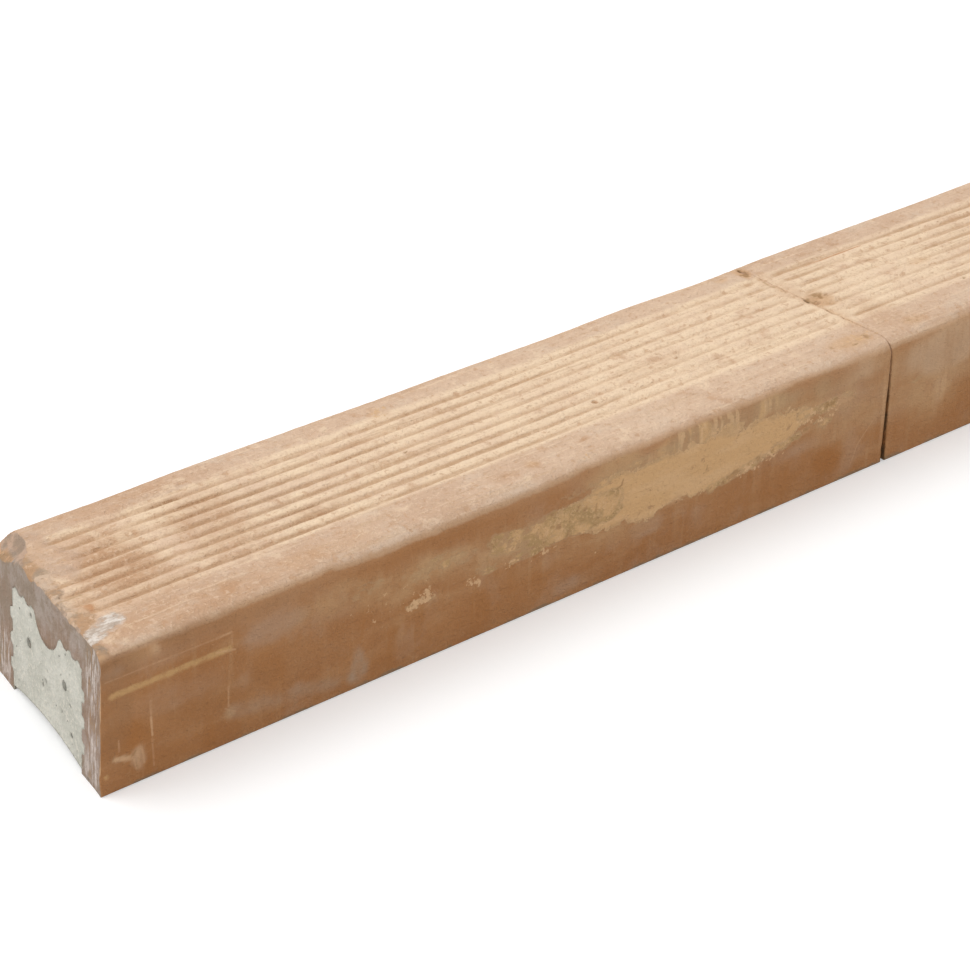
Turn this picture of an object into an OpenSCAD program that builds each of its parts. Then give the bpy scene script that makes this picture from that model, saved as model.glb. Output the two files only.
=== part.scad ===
// Prestressed clay lintel: fired-clay channels laid end to end, filled with
// concrete round two steel wires, lying open side down with its ribbed face up.
// X runs along the lintel, Y across it and Z up. The origin is at the middle
// of the lintel's length and width, on the floor that the channel legs rest on.

/* [Lintel] */
// Overall length, a length such lintels are sold in
lintel_length = 1200; // [600:50:2400]
// Overall width, the thickness of the wall that it spans in
lintel_width = 100; // [90:1:140]
// Overall height
lintel_height = 60; // [55:1:80]
// Radius of the two long upper edges
edge_radius = 7.3; // [3:0.1:12]

/* [Channel walls] */
// Thickness of the front leg at its inner teeth
leg_thickness = 17.7; // [12:0.1:22]
// Thickness of the back leg at its inner teeth
back_leg_thickness = 20.2; // [12:0.1:22]
// Thickness of the web at its inner teeth
web_thickness = 15.2; // [10:0.1:20]
// Radius of the round rib under the middle of the web
web_rib_radius = 10.7; // [6:0.1:12]
// How far the centre of that rib lies above the teeth of the web
web_rib_rise = 2.5; // [0:0.1:5]

/* [Plaster ribs] */
// Grooves in the upper face
key_grooves = 8; // [4:1:9]
// Distance from one groove to the next
key_pitch = 7.1; // [6:0.1:8]
// Depth of a groove below the upper face
key_depth = 1.4; // [0.6:0.1:2]
// Width of the flat floor of a groove
key_floor = 0.8; // [0.4:0.1:1.5]
// How far the middle of the ribbed strip lies behind the middle of the lintel
key_shift = 2.3; // [-3:0.1:3]

/* [Concrete keys] */
// Grooves in the inner face of each leg
leg_keys = 3; // [2:1:3]
// Height of the lowest leg groove's middle above the floor
leg_key_start = 11.7; // [9:0.1:14]
// Distance from the web's teeth down to the middle of the highest leg groove
leg_key_top_gap = 11.1; // [9:0.1:14]
// Height of a leg groove at its mouth
leg_key_mouth = 5.8; // [4:0.1:7]
// Height of a leg groove at its floor
leg_key_floor = 4.2; // [3:0.1:5]
// Depth of a leg groove
leg_key_depth = 2.3; // [1:0.1:3]
// Grooves under the web, on each side of the round rib
web_keys = 3; // [1:1:3]
// Distance from one web groove to the next
web_key_pitch = 7.5; // [7:0.1:8]
// Distance from a leg's teeth to the middle of the nearest web groove
web_key_start = 3; // [3:0.1:5]
// Radius of a web groove
web_key_radius = 2.6; // [2:0.1:3]
// Depth of a web groove
web_key_depth = 1.4; // [0.8:0.1:1.8]

/* [Concrete and wires] */
// Height of the concrete's underside above the floor, beside the legs
concrete_edge_recess = 2.1; // [0.5:0.1:4]
// Height of the concrete's underside above the floor, at the middle
concrete_middle_recess = 5; // [1:0.1:8]
// Diameter of a prestressing wire
wire_diameter = 4; // [3:0.5:6]
// Distance between the two wires, middle to middle
wire_spacing = 32.2; // [28:0.1:40]
// Height of the wires' middle above the floor
wire_height = 29; // [20:0.5:32]

/* [Ends and joints] */
// Turn of the near end's face about the vertical, in degrees
end_turn = 7.4; // [0:0.1:8]
// Lean of the near end's face along the lintel, in degrees
end_lean = 4; // [0:0.1:8]
// Turn of a joint between two channels about the vertical, in degrees
joint_turn = -2.6; // [-4:0.1:4]
// Lean of a joint's near face along the lintel, in degrees
joint_lean = 0.9; // [-2:0.1:2]
// Opening of a joint at the bottom
joint_gap_bottom = 2.8; // [1:0.1:4]
// Opening of a joint at the top
joint_gap_top = 0.4; // [0.2:0.1:1]

/* [Hidden] */

$fn = 96;

// Channels laid end to end, one for each clay node
channels = 3;

// Overrun of a cutting shape past the faces that it cuts
cut_over = 5;

half_length = lintel_length / 2;
half_width = lintel_width / 2;
channel_pitch = lintel_length / channels;

// The cavity between the legs' teeth and under the web's teeth, and its middle
cavity_half = (lintel_width - leg_thickness - back_leg_thickness) / 2;
cavity_middle = (leg_thickness - back_leg_thickness) / 2;
cavity_top = lintel_height - web_thickness;

// Leg grooves are spaced evenly between the lowest and the highest one
leg_key_pitch = (cavity_top - leg_key_top_gap - leg_key_start) / (leg_keys - 1);

// A plaster rib is a round bead that meets the groove floors on both sides
bead_half_chord = (key_pitch - key_floor) / 2;
bead_radius = (bead_half_chord * bead_half_chord + key_depth * key_depth)
    / (2 * key_depth);
ribbed_half = key_grooves * key_pitch / 2;

// The arc of the concrete's underside, through both edges and the middle
underside_rise = concrete_middle_recess - concrete_edge_recess;
underside_radius = (cavity_half * cavity_half + underside_rise * underside_rise)
    / (2 * underside_rise);

// Lean of a joint's far face, which opens the joint towards the bottom
joint_far_lean =
    atan(tan(joint_lean) - (joint_gap_bottom - joint_gap_top) / lintel_height);

clay_colour = "#b98a62";
concrete_colour = "#c3c2b4";
wire_colour = "#6d6a64";

// Outer outline of the clay, with its two round upper edges
module outer_outline() {
    translate([-half_width, 0])
        square([lintel_width, lintel_height - edge_radius]);
    translate([edge_radius - half_width, 0])
        square([lintel_width - 2 * edge_radius, lintel_height]);
    for (side = [-1, 1])
        translate([side * (half_width - edge_radius), lintel_height - edge_radius])
            circle(r = edge_radius);
}

// The grooves of the upper face: what the round beads leave of a shallow tray
module key_groove_outline() {
    difference() {
        translate([key_shift - ribbed_half, lintel_height - key_depth])
            square([2 * ribbed_half, key_depth + cut_over]);
        for (i = [0 : key_grooves])
            translate([
                key_shift - ribbed_half + i * key_pitch,
                lintel_height - bead_radius
            ])
                circle(r = bead_radius);
    }
}

// One groove of a leg, tapering into the leg from its mouth to its floor
module leg_key_outline() {
    polygon([
        [-cut_over, -leg_key_mouth / 2], [0, -leg_key_mouth / 2],
        [leg_key_depth, -leg_key_floor / 2], [leg_key_depth, leg_key_floor / 2],
        [0, leg_key_mouth / 2], [-cut_over, leg_key_mouth / 2]
    ]);
}

// The cavity that the concrete fills, with its keys and the web's round rib
module cavity_outline() {
    translate([cavity_middle, 0]) difference() {
        union() {
            translate([-cavity_half, -cut_over])
                square([2 * cavity_half, cavity_top + cut_over]);
            for (side = [-1, 1], i = [0 : leg_keys - 1])
                translate([side * cavity_half, leg_key_start + i * leg_key_pitch])
                    rotate([0, 0, side > 0 ? 0 : 180])
                        leg_key_outline();
            for (side = [-1, 1], i = [0 : web_keys - 1])
                translate([
                    side * (cavity_half - web_key_start - i * web_key_pitch),
                    cavity_top + web_key_depth - web_key_radius
                ])
                    circle(r = web_key_radius);
        }
        translate([0, cavity_top + web_rib_rise])
            circle(r = web_rib_radius);
    }
}

// Section of one clay channel
module channel_outline() {
    difference() {
        outer_outline();
        key_groove_outline();
        cavity_outline();
    }
}

// Section of the concrete, with its dished underside
module concrete_outline() {
    difference() {
        cavity_outline();
        translate([cavity_middle, concrete_middle_recess - underside_radius])
            circle(r = underside_radius, $fn = 360);
        translate([-half_width, -2 * cut_over])
            square([lintel_width, 2 * cut_over + concrete_edge_recess]);
    }
}

// A section carried along X over the whole length
module along_lintel() {
    translate([-half_length - cut_over, 0, 0])
        rotate([90, 0, 90])
            linear_extrude(height = lintel_length + 2 * cut_over)
                children();
}

// Everything on the near side of a face that passes through the lower front
// corner at x, turned about the vertical and leaning along the lintel
module near_side(x, turn, lean) {
    reach = 2 * lintel_length;
    // The face's direction across, and its slope up, give its two angles
    translate([x, -half_width, 0])
        rotate([0, 0, -turn])
            rotate([0, atan(tan(lean) * cos(turn)), 0])
                translate([-reach, -reach / 2, -reach / 2])
                    cube([reach, reach, reach]);
}

// Faces that bound the lintel and its channels
module before_near_end() near_side(-half_length, end_turn, end_lean);
module before_far_end() near_side(half_length, 0, 0);
module before_joint(i)
    near_side(-half_length + i * channel_pitch - joint_gap_bottom / 2,
        joint_turn, joint_lean);
module before_joint_far_face(i)
    near_side(-half_length + i * channel_pitch + joint_gap_bottom / 2,
        joint_turn, joint_far_lean);

// One clay channel; number 0 is at the near end
module clay_channel(number) {
    color(clay_colour)
        difference() {
            intersection() {
                along_lintel() channel_outline();
                if (number < channels - 1) before_joint(number + 1);
                else before_far_end();
            }
            if (number > 0) before_joint_far_face(number);
            else before_near_end();
        }
}

// A wire on one side of the middle: -1 in front, 1 behind
module wire_outline(side) {
    translate([cavity_middle + side * wire_spacing / 2, wire_height])
        circle(d = wire_diameter);
}

module concrete_core() {
    color(concrete_colour)
        difference() {
            intersection() {
                along_lintel()
                    difference() {
                        concrete_outline();
                        wire_outline(-1);
                        wire_outline(1);
                    }
                before_far_end();
            }
            before_near_end();
        }
}

module prestressing_wire(side) {
    color(wire_colour)
        difference() {
            intersection() {
                along_lintel() wire_outline(side);
                before_far_end();
            }
            before_near_end();
        }
}

clay_channel(0);  // clay_channel_near
clay_channel(1);  // clay_channel_middle
clay_channel(2);  // clay_channel_far
concrete_core();
prestressing_wire(-1);  // prestressing_wire_front
prestressing_wire(1);  // prestressing_wire_back
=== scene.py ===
"""Looks of a prestressed clay lintel: fired-clay channels, their concrete and two steel wires.

Lengths are metres, and MM turns millimetres into them. X runs along the lintel from its near end, Y goes
from the front side to the back, and Z up from the floor that the channel legs lie on.
"""

import logging
import math
from dataclasses import dataclass, field
from enum import Enum
from functools import cached_property
from typing import ClassVar

import bpy
import numpy as np
from mathutils import Matrix, Vector, geometry


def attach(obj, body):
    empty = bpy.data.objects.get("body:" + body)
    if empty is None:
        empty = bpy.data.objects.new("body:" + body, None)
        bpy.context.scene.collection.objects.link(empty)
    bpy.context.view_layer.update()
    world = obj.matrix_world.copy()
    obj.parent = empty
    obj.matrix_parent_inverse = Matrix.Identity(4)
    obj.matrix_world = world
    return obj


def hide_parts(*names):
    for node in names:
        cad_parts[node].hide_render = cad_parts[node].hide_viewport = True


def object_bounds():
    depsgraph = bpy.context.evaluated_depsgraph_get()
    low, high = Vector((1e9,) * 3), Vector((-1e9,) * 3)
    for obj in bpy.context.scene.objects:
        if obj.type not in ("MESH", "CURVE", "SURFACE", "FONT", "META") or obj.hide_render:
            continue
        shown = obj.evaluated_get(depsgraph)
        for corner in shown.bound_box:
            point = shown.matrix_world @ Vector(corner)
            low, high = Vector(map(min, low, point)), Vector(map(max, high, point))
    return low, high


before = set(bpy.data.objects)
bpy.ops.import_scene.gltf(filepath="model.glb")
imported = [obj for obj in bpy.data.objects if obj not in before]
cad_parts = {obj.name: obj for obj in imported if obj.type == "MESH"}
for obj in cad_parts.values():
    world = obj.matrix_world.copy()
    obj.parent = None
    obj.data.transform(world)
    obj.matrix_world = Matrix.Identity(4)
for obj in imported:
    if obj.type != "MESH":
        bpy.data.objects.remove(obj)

MM = 0.001
LOG = logging.getLogger("clay_lintel")

# Three numbers: a place, sizes or a direction along X, Y and Z, and a linear colour
Triple = tuple[float, float, float]
Colour = tuple[float, float, float]
Socket = bpy.types.NodeSocket

CAD_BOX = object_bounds()
LINTEL_LOW, LINTEL_HIGH = (np.array(corner) for corner in CAD_BOX)


class Slot(Enum):
    """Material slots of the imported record."""

    CLAY = "fired_clay"
    CONCRETE = "concrete"
    STEEL = "wire_steel"


# ---------------------------------------------------------------- noise and shapes worked out as arrays


class LatticeNoise:
    """Smooth seeded noise: random values on a cubic lattice, blended between its corners."""

    TABLE = 256

    def __init__(self, seed: int) -> None:
        """Shuffles the lattice for one seed.

        Args:
            seed: number that the values are drawn from.
        """
        draw = np.random.default_rng(seed)
        self.order = draw.permutation(self.TABLE)
        self.values = draw.uniform(-1.0, 1.0, self.TABLE)

    def at(self, points: np.ndarray, size: float | Triple) -> np.ndarray:
        """One octave of noise.

        Each coordinate over its size gives a lattice cell and a place in it, and the cell's eight corner
        values are blended with the smooth weights 3t^2 - 2t^3.

        Args:
            points: array of points, (..., 3).
            size: size of a bump, the same along all axes or one for each.

        Returns:
            Values from about -1 to 1, one for each point.
        """
        scaled = points / np.asarray(size, dtype=float)
        cell = np.floor(scaled).astype(np.int64)
        place = scaled - cell
        blend = place * place * (3.0 - 2.0 * place)
        total = np.zeros(points.shape[:-1])
        for corner in np.ndindex(2, 2, 2):
            weight = np.ones_like(total)
            key = np.zeros(points.shape[:-1], dtype=np.int64)
            for axis, step in enumerate(corner):
                weight = weight * (blend[..., axis] if step else 1.0 - blend[..., axis])
                key = self.order[(key + cell[..., axis] + step) % self.TABLE]
            total += weight * self.values[key]
        return total

    def fractal(self, points: np.ndarray, size: float | Triple, octaves: int = 3) -> np.ndarray:
        """Octaves of noise, each at half the size and strength of the one before.

        Args:
            points: array of points, (..., 3).
            size: size of the largest bumps.
            octaves: how many sizes are added.

        Returns:
            Values from about -1 to 1, one for each point.
        """
        size = np.asarray(size, dtype=float)
        layers = [self.at(points + 7.3 * size * n, size / 2**n) / 2**n for n in range(octaves)]
        return sum(layers) / (2.0 - 2.0 ** (1 - octaves))


def on_lintel(place: Triple) -> np.ndarray:
    """A place in millimetres from the near lower front corner, in the frame's metres."""
    return np.array([LINTEL_LOW[0], LINTEL_LOW[1], 0.0]) + MM * np.array(place)


def smooth_step(low: float, high: float, value: np.ndarray) -> np.ndarray:
    """The curve 3t^2 - 2t^3 of value between low, where it is 0, and high, where it is 1."""
    t = np.clip((value - low) / (high - low), 0.0, 1.0)
    return t * t * (3.0 - 2.0 * t)


@dataclass(frozen=True)
class Patch:
    """A soft-edged elliptical patch on the lintel, placed from its near lower front corner.

    Attributes:
        x: place along the lintel, in millimetres.
        y: place across it from the front side, in millimetres.
        z: height, in millimetres.
        rx: half size along the lintel.
        ry: half size across it.
        rz: half size upwards.
        strength: how strongly the patch shows, from 0 to 1.
        soft: how much of the patch its fading edge takes, from 0 to 1.
    """

    x: float
    y: float
    z: float
    rx: float
    ry: float
    rz: float
    strength: float = 1.0
    soft: float = 0.5

    def at(self, points: np.ndarray) -> np.ndarray:
        """Strength of the patch at points: full inside, fading to 0 where the scaled distance reaches 1.

        Args:
            points: array of points, (..., 3).

        Returns:
            Strengths, (...).
        """
        radii = MM * np.array([self.rx, self.ry, self.rz])
        reach = np.linalg.norm((points - on_lintel((self.x, self.y, self.z))) / radii, axis=-1)
        return self.strength * (1.0 - smooth_step(1.0 - self.soft, 1.0, reach))


@dataclass(frozen=True)
class Stroke:
    """A straight soft-edged line on the lintel, placed from its near lower front corner.

    Attributes:
        start: one of its ends (x, y, z), in millimetres.
        end: the other.
        half: half its width.
        strength: how strongly it shows, from 0 to 1.
        soft: how much of its half width the fading edge takes, from 0 to 1.
    """

    start: Triple
    end: Triple
    half: float
    strength: float = 1.0
    soft: float = 0.7

    def at(self, points: np.ndarray) -> np.ndarray:
        """Strength of the line at points: it fades with the distance to the nearest point on it.

        Args:
            points: array of points, (..., 3).

        Returns:
            Strengths, (...).
        """
        start, end = on_lintel(self.start), on_lintel(self.end)
        along = end - start
        share = np.clip((points - start) @ along / (along @ along), 0.0, 1.0)
        reach = np.linalg.norm(points - start - share[..., None] * along, axis=-1) / (MM * self.half)
        return self.strength * (1.0 - smooth_step(1.0 - self.soft, 1.0, reach))


Mark = Patch | Stroke


def strongest(marks: tuple[Mark, ...], points: np.ndarray) -> np.ndarray:
    """The largest of the marks' strengths at each point."""
    return np.max([mark.at(points) for mark in marks], axis=0)


@dataclass(frozen=True)
class EndFace:
    """A flat end of a channel, a little out of square.

    Attributes:
        x: place of its lower front corner, in metres.
        turn: turn about the vertical, in degrees.
        lean: lean along the lintel, in degrees.
        worn: how far its edges have crumbled, 1 at an even end.
        closed: how far the upper edge has been closed with mortar, from 0 to 1.
    """

    x: float
    turn: float = 0.0
    lean: float = 0.0
    worn: float = 1.0
    closed: float = 0.0

    def at(self, y: np.ndarray, z: np.ndarray) -> np.ndarray:
        """Where the face is along X at y and z: x + tan(turn) * (y - front) + tan(lean) * z."""
        across = math.tan(math.radians(self.turn)) * (y - LINTEL_LOW[1])
        return self.x + across + math.tan(math.radians(self.lean)) * z


@dataclass(frozen=True)
class Section:
    """The outline of a channel, across the lintel.

    Attributes:
        half_width: half the lintel's width.
        height: the lintel's height.
        edge_radius: radius of the long upper edges.
        leg: thickness of the front leg at its inner teeth.
        back_leg: thickness of the back leg there.
        web: thickness of the web at its inner teeth.
        rib_radius: radius of the round rib under the web.
        rib_rise: height of that rib's centre above the web's teeth.
        grooves: plaster grooves in the upper face.
        groove_pitch: distance from one to the next.
        groove_depth: their depth.
        groove_floor: width of their flat floor.
        rib_places: places along the lintel, in millimetres, between which the grooves wander.
        rib_shifts: how far the ribbed strip lies behind the middle there, in millimetres.
        arris: radius of the small edges of fired clay.
        allowance: how far the skin lies inside its outline, which leaves room for what sticks to it.
        leg_keys: heights of the grooves in a leg's inner face, at their middles.
        leg_key_mouth: height of such a groove at its mouth.
        leg_key_floor: its height at its floor.
        leg_key_depth: its depth.
        web_keys: distances of the grooves under the web from the cavity's middle.
        web_key_radius: their radius.
        web_key_depth: their depth.
        core_edge: height of the concrete's underside beside the legs.
        core_middle: its height at the middle.
        corner_ease: how far both sides of the inner corner are shared out around the outer edge.
    """

    half_width: float = LINTEL_HIGH[1]
    height: float = LINTEL_HIGH[2]
    edge_radius: float = 7.3 * MM
    leg: float = 17.7 * MM
    back_leg: float = 20.2 * MM
    web: float = 15.2 * MM
    rib_radius: float = 10.7 * MM
    rib_rise: float = 2.5 * MM
    grooves: int = 8
    groove_pitch: float = 7.1 * MM
    groove_depth: float = 1.4 * MM
    groove_floor: float = 0.8 * MM
    rib_places: tuple[float, ...] = (0, 60, 92, 117, 145, 235, 265, 295, 325, 357, 442, 540)
    rib_shifts: tuple[float, ...] = (3.0, 3.0, 2.2, 1.85, 1.45, 1.5, 2.0, 2.7, 3.2, 3.6, 3.7, 2.3)
    arris: float = 0.8 * MM
    allowance: float = 0.45 * MM
    leg_keys: tuple[float, ...] = (11.7 * MM, 22.7 * MM, 33.7 * MM)
    leg_key_mouth: float = 5.8 * MM
    leg_key_floor: float = 4.2 * MM
    leg_key_depth: float = 2.3 * MM
    web_keys: tuple[float, ...] = (28.05 * MM, 20.55 * MM, 13.05 * MM)
    web_key_radius: float = 2.6 * MM
    web_key_depth: float = 1.4 * MM
    core_edge: float = 2.1 * MM
    core_middle: float = 5.0 * MM
    corner_ease: float = 3 * MM

    @property
    def cavity_half(self) -> float:
        """Half the width of the cavity between the legs' teeth."""
        return self.half_width - (self.leg + self.back_leg) / 2

    @property
    def cavity_middle(self) -> float:
        """Where the middle of the cavity lies across the lintel."""
        return (self.leg - self.back_leg) / 2

    @property
    def cavity_top(self) -> float:
        """Height of the web's teeth."""
        return self.height - self.web

    @property
    def ribbed_half(self) -> float:
        """Half the width of the ribbed strip of the upper face."""
        return self.grooves * self.groove_pitch / 2

    def groove(self, points: np.ndarray) -> np.ndarray:
        """Depth of the plaster grooves at points, as a share of their full depth.

        A round bead of radius R stands on each multiple of the pitch. At a distance d from its middle it is
        R - sqrt(R^2 - d^2) deep, and between two beads lies the flat floor of the groove. The strip's
        middle wanders along the lintel.

        Args:
            points: array of points, (..., 3).

        Returns:
            Shares from 0 to 1, (...).
        """
        along = (points[..., 0] - LINTEL_LOW[0]) / MM
        y = points[..., 1] - MM * np.interp(along, self.rib_places, self.rib_shifts)
        reach = (self.groove_pitch - self.groove_floor) / 2
        radius = (reach**2 + self.groove_depth**2) / (2 * self.groove_depth)
        beat = (y + self.ribbed_half) / self.groove_pitch
        distance = np.abs(beat - np.round(beat)) * self.groove_pitch
        depth = radius - np.sqrt(radius**2 - np.minimum(distance, reach) ** 2)
        return np.where(np.abs(y) <= self.ribbed_half, depth / self.groove_depth, 0.0)

    def half_outer(self) -> np.ndarray:
        """Outer outline from the middle of the upper face to a leg's lower edge, as points (y, z).

        The ribbed strip has ten points to each groove, the long edge and the leg's arris are arcs of equal
        steps, and the side is straight.

        Returns:
            The points, (count, 2), with y >= 0.
        """
        wall = self.half_width - self.allowance
        top = self.height - self.allowance
        ribs = np.arange(0, self.grooves * 5 + 6) * self.groove_pitch / 10
        margin = np.linspace(ribs[-1], wall - self.edge_radius, 13)[1:]
        turn = np.linspace(0, math.pi / 2, 12)[1:]
        edge_y = wall - self.edge_radius * (1 - np.sin(turn))
        edge_z = top - self.edge_radius * (1 - np.cos(turn))
        side_z = np.linspace(top - self.edge_radius, self.arris, 48)[1:]
        foot_turn = np.linspace(0, math.pi / 2, 5)[1:]
        foot_y = wall - self.arris * (1 - np.cos(foot_turn))
        foot_z = self.arris * (1 - np.sin(foot_turn))
        upper = np.concatenate([ribs, margin])
        return np.concatenate([
            np.column_stack([upper, np.full_like(upper, top)]),
            np.column_stack([edge_y, edge_z]),
            np.column_stack([np.full_like(side_z, wall), side_z]),
            np.column_stack([foot_y, foot_z]),
        ])

    def half_inner(self) -> np.ndarray:
        """Inner outline from the middle of the web's round rib to a leg's lower edge, as points (y, z).

        Returns:
            The points, (count, 2), about the cavity's middle.
        """
        meet = math.acos(self.rib_rise / self.rib_radius)
        rib_turn = np.linspace(0, meet, 14)
        rib = np.column_stack([
            self.rib_radius * np.sin(rib_turn),
            self.cavity_top + self.rib_rise - self.rib_radius * np.cos(rib_turn),
        ])
        pieces = [rib]
        sunk = self.web_key_radius - self.web_key_depth
        half_turn = math.acos(sunk / self.web_key_radius)
        for middle in reversed(self.web_keys):
            turn = np.linspace(-half_turn, half_turn, 9)
            pieces.append(np.column_stack([
                middle + self.web_key_radius * np.sin(turn),
                self.cavity_top - sunk + self.web_key_radius * np.cos(turn),
            ]))
        pieces.append(np.array([[self.cavity_half, self.cavity_top]]))
        for middle in reversed(self.leg_keys):
            mouth, floor = self.leg_key_mouth / 2, self.leg_key_floor / 2
            deep = self.cavity_half + self.leg_key_depth
            pieces.append(np.array([
                [self.cavity_half, middle + mouth], [deep, middle + floor],
                [deep, middle - floor], [self.cavity_half, middle - mouth],
            ]))
        pieces.append(np.array([[self.cavity_half, 0.0]]))
        return np.concatenate(pieces)

    def whole_inner(self) -> np.ndarray:
        """The whole inner outline, with one point for each point of the whole outer one."""
        return both_halves(self.matched_inner(self.half_outer())) + [self.cavity_middle, 0.0]

    def matched_inner(self, outer: np.ndarray) -> np.ndarray:
        """Inner outline with one point for each point of the half outer outline, about the cavity's middle.

        Both outlines are cut where the middle, the inner corner and the leg's edge face each other, and
        each stretch of the inner one is shared out as the outer one is.

        Args:
            outer: the half outer outline.

        Returns:
            The points, as many as the outer outline has.
        """
        inner = self.half_inner()
        outer_run, inner_run = run_length(outer), run_length(inner)
        corner = inner_run[np.argmax(inner[:, 0] + inner[:, 1] * (inner[:, 0] <= self.cavity_half))]
        low, inward = outer[:, 1] < 0.9 * self.height, outer[:, 0] < 0.9 * self.half_width
        before = outer_run[np.argmin(np.abs(outer[:, 0] - self.cavity_half) + low)]
        after = outer_run[np.argmin(np.abs(outer[:, 1] - self.cavity_top) + inward)]
        run = np.interp(
            outer_run,
            [0.0, before, after, outer_run[-1]],
            [0.0, corner - self.corner_ease, corner + self.corner_ease, inner_run[-1]],
        )
        return np.column_stack([np.interp(run, inner_run, inner[:, axis]) for axis in (0, 1)])


def run_length(points: np.ndarray) -> np.ndarray:
    """Length along a line of points, from its first point to each of the others."""
    return np.concatenate([[0.0], np.cumsum(np.linalg.norm(np.diff(points, axis=0), axis=1))])


def both_halves(half: np.ndarray) -> np.ndarray:
    """A whole outline, front leg to back leg, from the half that runs from the middle to the back leg."""
    front = half[::-1] * np.array([-1.0, 1.0])
    return np.concatenate([front[:-1], half])


def outline_normals(outline: np.ndarray) -> np.ndarray:
    """Outward unit normals of an outline that runs from the front leg over the top to the back leg.

    Args:
        outline: points (y, z), (count, 2).

    Returns:
        The normals, (count, 2).
    """
    along = np.gradient(outline, axis=0)
    normal = np.column_stack([-along[:, 1], along[:, 0]])
    return normal / np.linalg.norm(normal, axis=1, keepdims=True)


class MeshDraft:
    """Collects grids of points and their faces, and welds them."""

    WELD = 1e-6

    def __init__(self) -> None:
        """Starts empty."""
        self.points: list[np.ndarray] = []
        self.layers: list[dict[str, np.ndarray]] = []
        self.quads: list[np.ndarray] = []
        self.others: list[np.ndarray] = []
        self.count = 0

    def add_points(self, points: np.ndarray, layers: dict[str, np.ndarray]) -> np.ndarray:
        """Adds points.

        Args:
            points: array of points, (..., 3).
            layers: values for each point, by layer name.

        Returns:
            The points' numbers, (...).
        """
        shape = points.shape[:-1]
        numbers = self.count + np.arange(math.prod(shape)).reshape(shape)
        self.points.append(points.reshape(-1, 3))
        self.layers.append({name: np.broadcast_to(value, shape).ravel() for name, value in layers.items()})
        self.count += numbers.size
        return numbers

    def add_grid(self, points: np.ndarray, turned: bool = False, **layers: np.ndarray) -> np.ndarray:
        """Adds a grid of points with a face in each cell.

        Args:
            points: grid of points, (rows, columns, 3).
            turned: whether the faces point the other way.
            layers: values for each point, by layer name.

        Returns:
            The grid's point numbers, (rows, columns).
        """
        numbers = self.add_points(points, layers)
        cells = np.stack([numbers[:-1, :-1], numbers[:-1, 1:], numbers[1:, 1:], numbers[1:, :-1]], axis=-1)
        cells = cells.reshape(-1, 4)
        self.quads.append(cells[:, ::-1] if turned else cells)
        return numbers

    def add_comb(
        self, fine: np.ndarray, coarse: np.ndarray, turned: bool = False,
        first: np.ndarray | None = None, last: np.ndarray | None = None,
    ) -> None:
        """Joins a fine row of points to a coarse one, with one face between two coarse points.

        Args:
            fine: point numbers of the fine row, with a whole number of steps to each coarse step.
            coarse: point numbers of the coarse row.
            turned: whether the faces point the other way.
            first: points between the rows where they start, from the fine row to the coarse one.
            last: the same where the rows end.
        """
        none = np.zeros(0, dtype=int)
        first, last = (none if ends is None else ends for ends in (first, last))
        each = (len(fine) - 1) // (len(coarse) - 1)
        for n in range(len(coarse) - 1):
            before = first[::-1] if n == 0 else none
            after = last if n == len(coarse) - 2 else none
            face = np.concatenate([fine[n * each:(n + 1) * each + 1], after, coarse[[n + 1, n]], before])
            self.others.append(face[::-1] if turned else face)

    def add_faces(self, points: np.ndarray, faces: np.ndarray, **layers: np.ndarray) -> None:
        """Adds loose points and triangles between them.

        Args:
            points: array of points, (count, 3).
            faces: array of point numbers, (faces, 3), counted from the first of these points.
            layers: values for each point, by layer name.
        """
        self.others += list(self.add_points(points, layers)[faces])

    def welded(self) -> tuple[np.ndarray, dict[str, np.ndarray], list[list[int]]]:
        """Joins points that lie together.

        Returns:
            The points, the layers and the faces, without the cells that closed up.
        """
        points = np.concatenate(self.points)
        keys = np.round(points / self.WELD).astype(np.int64)
        _, first, new = np.unique(keys, axis=0, return_index=True, return_inverse=True)
        new = new.reshape(-1)
        sizes = [len(part) for part in self.points]
        names = {name for part in self.layers for name in part}
        layers = {
            name: np.concatenate([
                part.get(name, np.zeros(size)) for part, size in zip(self.layers, sizes)
            ])[first]
            for name in sorted(names)
        }
        quads = new[np.concatenate(self.quads)]
        closed = (quads == np.roll(quads, 1, axis=1)).any(axis=1)
        kept = quads[~closed].tolist()
        for cell in quads[closed].tolist() + [new[face].tolist() for face in self.others]:
            ring = [n for i, n in enumerate(cell) if n != cell[i - 1]]
            if len(set(ring)) > 2:
                kept.append(ring)
        return points[first], layers, kept


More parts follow.
